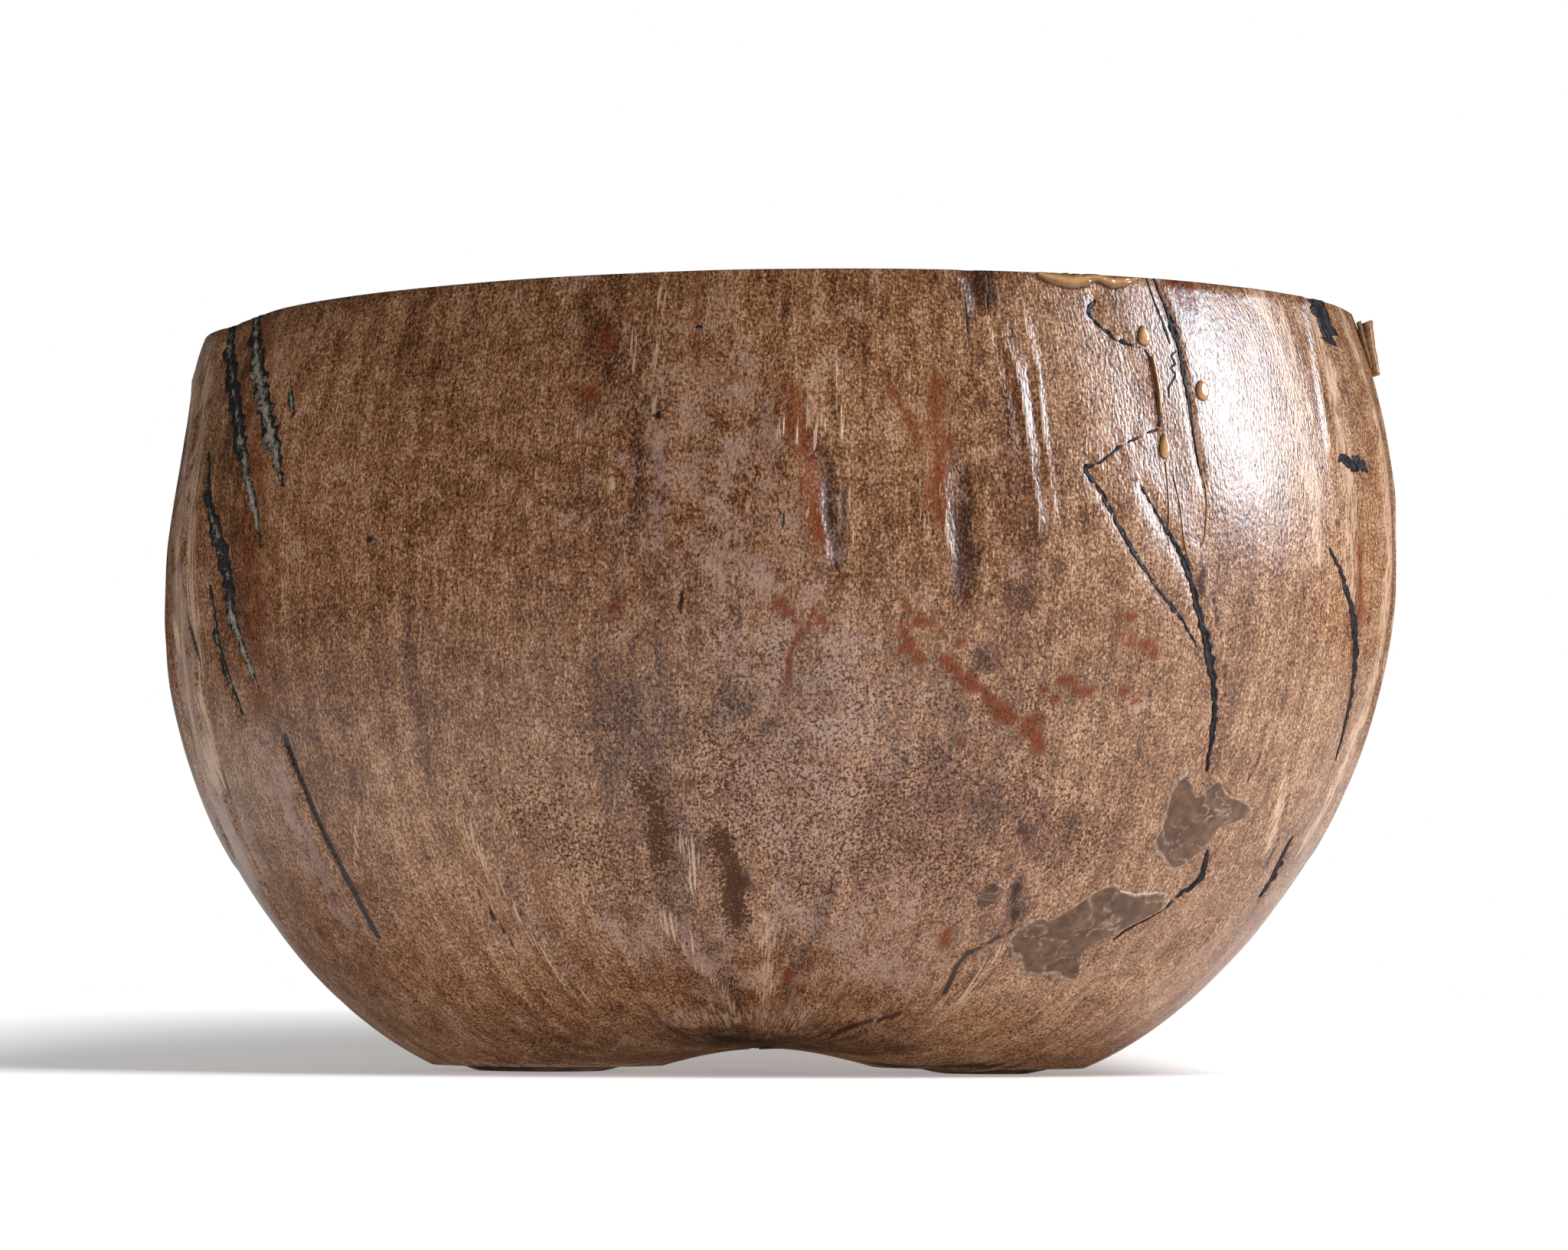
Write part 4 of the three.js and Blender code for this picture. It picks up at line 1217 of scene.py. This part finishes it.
@dataclass(frozen=True)
class Patches:
    """Wide mends that lie on the skin inside a closed outline: putty patches and drops of lacquer."""

    surface: NutSurface
    steps: int = 10
    rings: int = 20

    def patch(
        self, name: str, outline: Path, sink: float, dome: float, lumps: float, lip: float
    ) -> bpy.types.Object:
        """Builds a closed patch.

        Rings of the outline shrink towards its middle, closer together near the edge. Its height is a
        dome of 1 - r⁶ with lumps on it, and a lip, a narrow bell curve round r = 0.96.

        Args:
            name: Name of the piece.
            outline: Bearings and heights round the patch.
            sink: How deep its underside lies.
            dome: Height of its middle.
            lumps: Height of the lumps.
            lip: Extra height along its edge.

        Returns:
            The new piece, with an edge attribute that is 1 on its lip and on the flanks of its lumps.
        """
        loop = spline(outline, self.steps, closed=True)
        middle = np.array(outline).mean(axis=0)
        turn = np.radians(middle[0])
        scale = float(NUT.per_degree(turn, NUT.latitude_at(turn, middle[1])))
        r = 1.0 - (1.0 - np.linspace(0.0, 1.0, self.rings + 1)[1:, None]) ** 1.6
        r_all = np.concatenate([r, r[::-4]])
        around = middle[0] + (loop[:, 0] - middle[0]) * r_all
        up = middle[1] + (loop[:, 1] - middle[1]) * r_all
        u = (around - middle[0]) * scale
        v = (up - middle[1]) * UPWARD
        ragged = lumps * 2.2 * ripple(u / 1.8, v / 1.8, 71, 2) * r_all ** 8
        around = around + ragged / scale
        up = up + ragged * 0.6 / UPWARD
        islands = ripple(u / 5.5, v / 3.5, 67, 3) + 0.35
        ridge = np.exp(-((islands / 0.07) ** 2))
        above = dome * (1 - r_all ** 6) + lip * np.exp(-(((r_all - 0.96) / 0.03) ** 2))
        above = above + lumps * (0.6 * ease(-0.5, 0.5, islands) + 0.5 * ridge) * (1 - r_all ** 10)
        above[len(r):] = -sink
        rings = self.surface.at_places(around, up, above)
        centres = self.surface.at_places(
            np.full(2, middle[0]), np.full(2, middle[1]), np.array([above[0].mean(), -sink]))
        points, faces = ring_stack(rings, centres[0], centres[1])
        edge = np.maximum(ease(0.9, 0.96, r_all) + np.zeros_like(above), 0.8 * ridge * (lumps > 0))
        edge = np.concatenate([edge.ravel(), [0.0, 0.0]])
        piece = make_piece(name, points, faces, {"edge": edge})
        turn_outwards(piece)
        return piece


# Bearing, height and half width at each station; a fourth number blackens a grey fill with soot

GREY_FILLS: dict[str, Path] = {
    "grey_fill_rim_inner": (
        (-155.4, 101.5, 2.0, 0.2), (-152.6, 97.5, 2.2, 0.3), (-148.9, 93.1, 2.3, 0.1),
        (-145.6, 88.4, 2.5, 0.0), (-142.5, 83.9, 2.3, 0.1), (-140.2, 79.5, 2.1, 0.0),
        (-138.4, 74.8, 0.5, 0.3)),
    "grey_fill_rim_outer": (
        (-161.2, 100.5, 1.6, 0.4), (-157.4, 94.5, 2.2, 0.4), (-151.5, 88, 2.2, 0.5),
        (-147.7, 82.5, 2.3, 0.4), (-145.2, 77.5, 1.8, 0.1), (-142.8, 72, 1.2, 0.0),
        (-141.5, 67.2, 0.3, 0.2)),
    "grey_fill_flank": (
        (-155.3, 81, 0.6, 0.5), (-152.6, 74, 1.8, 0.5), (-149.5, 68.5, 2.3, 0.4), (-147.5, 63, 2.2, 0.4),
        (-146.8, 58.6, 1.8, 0.0), (-144.6, 53.4, 1.2, 0.0), (-143.2, 49.2, 0.3, 0.0)),
    "grey_fill_flank_low": (
        (-151.8, 63.2, 0.4, 0.5), (-150.9, 58, 1.2, 0.4), (-150.1, 54, 1.2, 0.3), (-148.4, 49.5, 0.8, 0.3),
        (-147.2, 46, 0.3, 0.3)),
    "grey_fill_short": ((-139.8, 88, 0.3, 0.2), (-139, 86, 1.1, 0.0), (-138.2, 84, 0.3, 0.2)),
}

PITCH_FILLS: dict[str, Path] = {
    "pitch_fill_rim": (
        (-47.8, 100.6, 0.4), (-47.2, 97, 0.5), (-46.8, 94.5, 0.9), (-46.5, 92, 0.6), (-46.3, 88, 0.45),
        (-46.1, 84.5, 0.4), (-45.7, 79, 0.25), (-45.1, 75, 0.15)),
    "pitch_fill_hook": (
        (-55.4, 97.2, 0.4), (-56.4, 95.9, 0.6), (-55.8, 94.3, 0.5), (-54.4, 92.9, 0.6), (-52.4, 91.7, 0.45),
        (-51.2, 91.3, 0.3)),
    "pitch_fill_bent": (
        (-50, 81.1, 0.3), (-53.5, 79.2, 0.35), (-56.8, 76.4, 0.4), (-58.2, 75.5, 0.45), (-56.8, 73, 0.45),
        (-54, 67.2, 0.5), (-50.7, 61.9, 0.5), (-46.9, 57.3, 0.45), (-44.6, 54, 0.25)),
    "pitch_fill_long": (
        (-52.4, 73.9, 0.2), (-50.3, 70, 0.4), (-48.8, 67.5, 0.6), (-46.7, 63.4, 0.65), (-45, 58.5, 0.75),
        (-43.4, 54.4, 0.9), (-41.9, 50, 0.95), (-40.9, 47, 0.8), (-39.9, 41.8, 0.65), (-39.3, 38.6, 0.35)),
    "pitch_fill_far_right": (
        (-26, 67.8, 0.4), (-23.6, 65, 0.8), (-21.4, 61.9, 0.9), (-18.8, 57.4, 1.05), (-17.2, 53.2, 0.95),
        (-16, 49.7, 0.8), (-14.8, 45, 0.6), (-13.9, 41, 0.3)),
    "pitch_fill_by_patch": (
        (-34.2, 29, 0.3), (-33.3, 27.3, 0.8), (-32.8, 25.2, 0.9), (-34.2, 23.6, 0.7), (-35.2, 22.9, 0.4)),
    "pitch_fill_edge": ((-16.6, 31.1, 0.3), (-16.4, 28.2, 1.2), (-15.5, 25.4, 1.3), (-15.4, 23.2, 0.3)),
    "pitch_patch_rim": ((-19.6, 101, 3.4), (-19.2, 98.4, 4.4), (-20, 95.2, 3.0)),
    "pitch_patch_flank": (
        (-23.4, 79.2, 0.4), (-22, 79.6, 1.3), (-19.8, 78.8, 2.0), (-17.6, 79.4, 1.4), (-16.2, 78.4, 0.4)),
}

PITCH_HAIRS: dict[str, Path] = {
    "pitch_hair_zigzag": (
        (-46.8, 91.3, 0.2), (-47.6, 90.5, 0.25), (-47.3, 89.5, 0.25), (-47.9, 89, 0.25), (-47.5, 88, 0.25),
        (-48.3, 86.7, 0.25), (-48.6, 85.1, 0.15)),
    "pitch_hair_stem": (
        (-51, 91.3, 0.25), (-50.2, 90, 0.35), (-50, 87, 0.35), (-49.8, 84.4, 0.6), (-49.9, 82.6, 0.5),
        (-49.9, 81.2, 0.3)),
    "pitch_hair_rim": ((-48.9, 100.4, 0.25), (-48.5, 97, 0.3), (-47.9, 94.2, 0.35), (-47.6, 92, 0.25)),
    "pitch_hair_patch": ((-35.4, 22.6, 0.4), (-37.6, 20.8, 0.45), (-40, 19.2, 0.4), (-41.6, 17.6, 0.15)),
}

PUTTY_PATCHES: dict[str, Path] = {
    "putty_patch_upper": (
        (-42.4, 38.2), (-43.8, 36.4), (-43.2, 31.8), (-43.4, 29.6), (-40, 27.1), (-38.1, 26.3), (-36, 28),
        (-34.6, 30.4), (-34, 31.8), (-30, 33.2), (-30.8, 35), (-35.3, 36.2), (-37.4, 37.7), (-39.5, 35.8),
        (-40.8, 35.8)),
    "putty_patch_lower": (
        (-57, 17.4), (-54.2, 15), (-51, 13.1), (-47, 13.2), (-43.4, 12.5), (-44.9, 15.4), (-43.6, 17.4),
        (-40, 19.4), (-36.4, 21.8), (-37.8, 23.5), (-42, 23.4), (-47, 24.4), (-50.6, 21.7), (-52.8, 20),
        (-55.2, 19.9)),
    "putty_patch_small": ((-62.6, 21.8), (-62.6, 23.4), (-61.5, 24.4), (-60.1, 23.9), (-60.4, 22.7),
                          (-61.5, 21.5)),
}

LACQUER_TRAILS: dict[str, Path] = {
    "lacquer_run_rim": (
        (-61.6, 100.1, 0.5), (-59.6, 99.6, 1.5), (-57.6, 99.4, 1.8), (-55.2, 100, 0.9), (-53.2, 99.5, 1.4),
        (-50.4, 100.1, 0.4)),
    "lacquer_trail": ((-50.1, 90.2, 0.5), (-49.9, 87, 0.45), (-49.8, 83, 0.5)),
}

LACQUER_THREADS: dict[str, Path] = {
    "lacquer_thread_left": ((-49.4, 77, 0.25), (-49.2, 71.6, 0.2), (-49.1, 66.4, 0.2)),
    "lacquer_thread_middle": ((-48.6, 75.4, 0.15), (-47.9, 71.7, 0.2), (-47.2, 66.4, 0.2),
                              (-45.9, 63.4, 0.15)),
    "lacquer_thread_right": ((-45.1, 76, 0.15), (-44.7, 72.7, 0.2), (-44.8, 68.2, 0.2),
                             (-45.3, 66.4, 0.15)),
}

# Bearing, height, half width, half height, and how much the top is drawn out to a tear
LACQUER_BEADS: dict[str, tuple[float, float, float, float, float]] = {
    "lacquer_bead_upper": (-50.7, 92.9, 1.3, 2.2, 0.45),
    "lacquer_bead_middle": (-44.4, 86.3, 1.6, 2.2, 0.1),
    "lacquer_bead_lower": (-49.5, 78.9, 1.1, 2.7, 0.4),
}

# Two slivers of skin in a V, from their sprung tops down to where they are fast
SPLINTER: Path = ((-1.8, 99.2, 2.0), (-2.1, 96.4, 1.9), (-2.6, 92.6, 0.6))
SPLINTER_INNER: Path = ((-5.2, 99.4, 1.0), (-4.6, 97, 1.2), (-3.6, 93.6, 0.4))


def groove(stations: Path, depth: float, margin: float) -> Stroke:
    """Groove in the skin under a mend: along its stations, a margin wider than the mend is on average."""
    rows = np.array(stations, dtype=float)
    return Stroke(tuple(map(tuple, rows[:, :2].tolist())), float(rows[:, 2].mean()) + margin, -depth)


@dataclass(frozen=True)
class Mends:
    """Everything that was put into or ran over the skin."""

    surface: NutSurface

    def fills(self) -> list[bpy.types.Object]:
        """Builds the grey and the black fills of the cracks."""
        ribbons = Ribbons(self.surface)
        grout = GreyGrout().make()
        pitch = BlackPitch().make()
        pieces = []
        for table, ending, bead, finish, slot in (
            (GREY_FILLS, "_grout", GROUT_BEAD, grout, "grey_fill"),
            (PITCH_FILLS, "_pitch", PITCH_BEAD, pitch, "pitch"),
            (PITCH_HAIRS, "", HAIR_BEAD, pitch, "pitch"),
        ):
            for name, stations in table.items():
                piece = ribbons.ribbon(name + ending, stations, bead)
                pieces.append(self.dress(piece, finish, name if ending else ""))
        return pieces

    def putty(self) -> list[bpy.types.Object]:
        """Builds the putty patches."""
        patches = Patches(self.surface, steps=12, rings=30)
        finish = BrownPutty().make()
        pieces = []
        for name, outline in PUTTY_PATCHES.items():
            piece = patches.patch(name + "_wax", outline, sink=0.8, dome=0.25, lumps=0.28, lip=0.18)
            pieces.append(self.dress(piece, finish, name))
        return pieces

    def lacquer(self) -> list[bpy.types.Object]:
        """Builds the runs, threads and drops of lacquer."""
        ribbons = Ribbons(self.surface)
        patches = Patches(self.surface, steps=8, rings=12)
        finish = AmberLacquer().make()
        pieces = []
        for name, stations in LACQUER_TRAILS.items():
            piece = ribbons.ribbon(name + "_shellac", stations, TRAIL_BEAD)
            pieces.append(self.dress(piece, finish, name))
        for name, stations in LACQUER_THREADS.items():
            piece = ribbons.ribbon(name, stations, THREAD_BEAD)
            pieces.append(self.dress(piece, finish))
        turn = np.linspace(0.0, 2 * pi, 9)[:-1]
        for name, (bearing, height, half_width, half_height, tear) in LACQUER_BEADS.items():
            side = half_width * np.cos(turn) * (1 - tear * np.sin(turn)) / 2.0
            oval = np.stack([bearing + side, height + half_height * np.sin(turn) / UPWARD], axis=-1)
            outline = tuple(map(tuple, oval.tolist()))
            piece = patches.patch(name + "_shellac", outline, sink=0.3, dome=1.0, lumps=0.0, lip=0.0)
            pieces.append(self.dress(piece, finish, name))
        return pieces

    def splinter(self) -> list[bpy.types.Object]:
        """Builds the slivers of skin that stand off at the rim in a V: fast below, sprung at the top."""
        ribbons = Ribbons(self.surface)
        away = np.linspace(1.0, 0.0, (len(SPLINTER) - 1) * ribbons.steps + 1)
        outer = ribbons.ribbon("rim_splinter_skin", SPLINTER, SLIVER_BEAD, 0.4 + 2.0 * away ** 1.4)
        inner = ribbons.ribbon("rim_splinter_inner", SPLINTER_INNER, INNER_SLIVER_BEAD, 0.1 + 0.9 * away)
        # the inner sliver is a darker copy of the same finish: the darker underside of the skin, and painted
        # shade in the V between the slivers
        bright = BrownPutty("nut_skin_sliver", 1.2, "#5f3a1a", "#7a4c24", "#9a6d40").make()
        deep = BrownPutty("nut_skin_sliver_underside_and_shade", 1.2, "#3f2712", "#5a381a", "#7a5430").make()
        return [
            self.dress(outer, bright, "rim_splinter"),
            self.dress(inner, deep),
        ]

    def dress(
        self, piece: bpy.types.Object, finish: bpy.types.Material, node: str = ""
    ) -> bpy.types.Object:
        """Gives a mend its finish and slot, and hides the node that it stands for, if there is one."""
        piece.data.materials.append(finish)
        if node:
            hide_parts(node)
        return piece


# Studio


@dataclass(frozen=True)
class Studio:
    """White floor, soft window light from the right, and the camera of the photograph."""

    distance: float = 999.502
    focal_pixels: float = 6008.05
    image_width: float = 2048.0
    yaw: float = 5.2537
    pitch: float = 4.438
    roll: float = 0.2804
    height: float = 19.4068
    aside: float = 1.7611
    sensor: float = 36.0
    floor_radius: float = 1.2
    swell: float = 12.0

    def camera(self) -> bpy.types.Object:
        """Makes the camera: turned by its yaw, pitched up, rolled a little, and set back by its distance."""
        yaw = radians(self.yaw)
        pitch = radians(self.pitch)
        roll = radians(self.roll)
        right = Vector((cos(yaw), sin(yaw), 0.0))
        ahead = Vector((-sin(yaw), cos(yaw), 0.0))
        up = Vector((0.0, 0.0, 1.0))
        axis = ahead * cos(pitch) + up * sin(pitch)
        level_up = up * cos(pitch) - ahead * sin(pitch)
        across = right * cos(roll) + level_up * sin(roll)
        upright = level_up * cos(roll) - right * sin(roll)
        place = (right * self.aside - ahead * self.distance + up * self.height) * MM
        data = bpy.data.cameras.new("photo_camera")
        data.sensor_fit = "HORIZONTAL"
        data.sensor_width = self.sensor
        data.lens = self.focal_pixels / self.image_width * self.sensor
        data.clip_start = 0.05
        data.clip_end = 30.0
        camera = bpy.data.objects.new("photo_camera", data)
        bpy.context.scene.collection.objects.link(camera)
        turned = Matrix((across, upright, -axis)).transposed()
        camera.matrix_world = Matrix.Translation(place) @ turned.to_4x4()
        bpy.context.scene.camera = camera
        return camera

    def floor(self) -> bpy.types.Object:
        """Makes the floor: rings of a disc, flat under the bowl, with the paper swelling a little behind."""
        turn = np.linspace(0.0, 2 * pi, 97)[:-1]
        radius = np.linspace(0.02, self.floor_radius, 60)[:, None]
        points = np.stack([radius * np.cos(turn), radius * np.sin(turn), 0 * radius * turn], axis=-1)
        points[..., 2] = self.swell * MM * ease(0.02, 0.16, points[..., 1])
        count, sides = points.shape[:2]
        here = np.arange(count * sides).reshape(count, sides)
        there = np.roll(here, -1, axis=1)
        quads = np.stack([here[:-1], here[1:], there[1:], there[:-1]], axis=-1).reshape(-1, 4).tolist()
        mesh = bpy.data.meshes.new("studio_floor")
        mesh.from_pydata(points.reshape(-1, 3).tolist(), [], quads + [here[0].tolist()])
        floor = bpy.data.objects.new("studio_floor", mesh)
        bpy.context.scene.collection.objects.link(floor)
        mesh.materials.append(PaperFloor().make())
        return floor

    def light(self, name: str, place: tuple[float, float, float], size: tuple[float, float], watts: float,
              only: bpy.types.Object | None = None, spare: bpy.types.Object | None = None,
              tint: str = "#ffffff") -> bpy.types.Object:
        """Makes one rectangular soft light that faces the middle of the bowl.

        Args:
            name: Name of the light.
            place: Where it stands, in metres.
            size: Width and height, in metres.
            watts: Its power.
            only: The one thing that it lights, if it doesn't light everything.
            spare: A thing that it doesn't light.
            tint: Its colour.

        Returns:
            The light.
        """
        data = bpy.data.lights.new(name, "AREA")
        data.shape = "RECTANGLE"
        data.size, data.size_y = size
        data.energy = watts
        data.color = linear(tint)[:3]
        lamp = bpy.data.objects.new(name, data)
        lamp.location = place
        lamp.rotation_euler = (Vector((0.0, 0.0, 0.09)) - Vector(place)).to_track_quat("-Z", "Y").to_euler()
        bpy.context.scene.collection.objects.link(lamp)
        linked = only or spare
        if linked:
            receivers = bpy.data.collections.new(name + "_receivers")
            receivers.objects.link(linked)
            lamp.light_linking.receiver_collection = receivers
            receivers.collection_objects[0].light_linking.link_state = "INCLUDE" if only else "EXCLUDE"
        return lamp

    def surround(self, glow: float, shine: float) -> None:
        """Makes the background: white to the camera, and a light on the bowl by its glow and shine.

        Args:
            glow: Its strength on matt surfaces.
            shine: Its strength in reflections.
        """
        world = bpy.data.worlds.new("white_studio")
        world.use_nodes = True
        tree = world.node_tree
        tree.nodes.clear()
        path = add(tree, "LightPath").outputs
        dim = add(tree, "Background", {"Color": (1.0, 1.0, 1.0, 1.0), "Strength": glow}).outputs[0]
        dark = add(tree, "Background", {"Color": (1.0, 1.0, 1.0, 1.0), "Strength": shine}).outputs[0]
        white = add(tree, "Background", {"Color": (1.0, 1.0, 1.0, 1.0), "Strength": 1.0}).outputs[0]
        lit = add(tree, "MixShader", {0: path["Is Glossy Ray"], 1: dim, 2: dark}).outputs[0]
        both = add(tree, "MixShader", {0: path["Is Camera Ray"], 1: lit, 2: white}).outputs[0]
        add(tree, "OutputWorld", {"Surface": both})
        bpy.context.scene.world = world

    def build(self) -> None:
        """Sets up camera, floor, lights and background."""
        self.camera()
        floor = self.floor()
        self.surround(0.22, 0.05)
        self.light("window", (1.19, -0.27, 0.56), (0.46, 0.62), 27.0, spare=floor, tint="#eaf3ff")
        fill = self.light("front_fill", (-0.8, -1.4, 0.18), (1.2, 0.8), 5.2, spare=floor)
        fill.visible_glossy = False
        self.light("floor_lamp", (0.7, -0.3, 1.25), (0.8, 0.8), 23.0, only=floor)
        bpy.context.scene.view_settings.view_transform = "Standard"


def main() -> None:
    """Builds the bowl and its studio, and logs every piece."""
    logging.basicConfig(level=logging.INFO, format="%(message)s")
    Studio().build()
    filled = (*GREY_FILLS.values(), *PITCH_FILLS.values())
    surface = NutSurface(tuple(groove(stations, GROOVE_DEPTH, GROOVE_MARGIN) for stations in filled))
    shell = Shell(surface)
    mends = Mends(surface)
    pieces = [
        shell.hard_shell(), shell.skin(),
        *mends.fills(), *mends.putty(), *mends.lacquer(), *mends.splinter(),
    ]
    for piece in pieces:
        log.info("%s: %d faces", piece.name, len(piece.data.polygons))


if __name__ == "__main__":
    main()
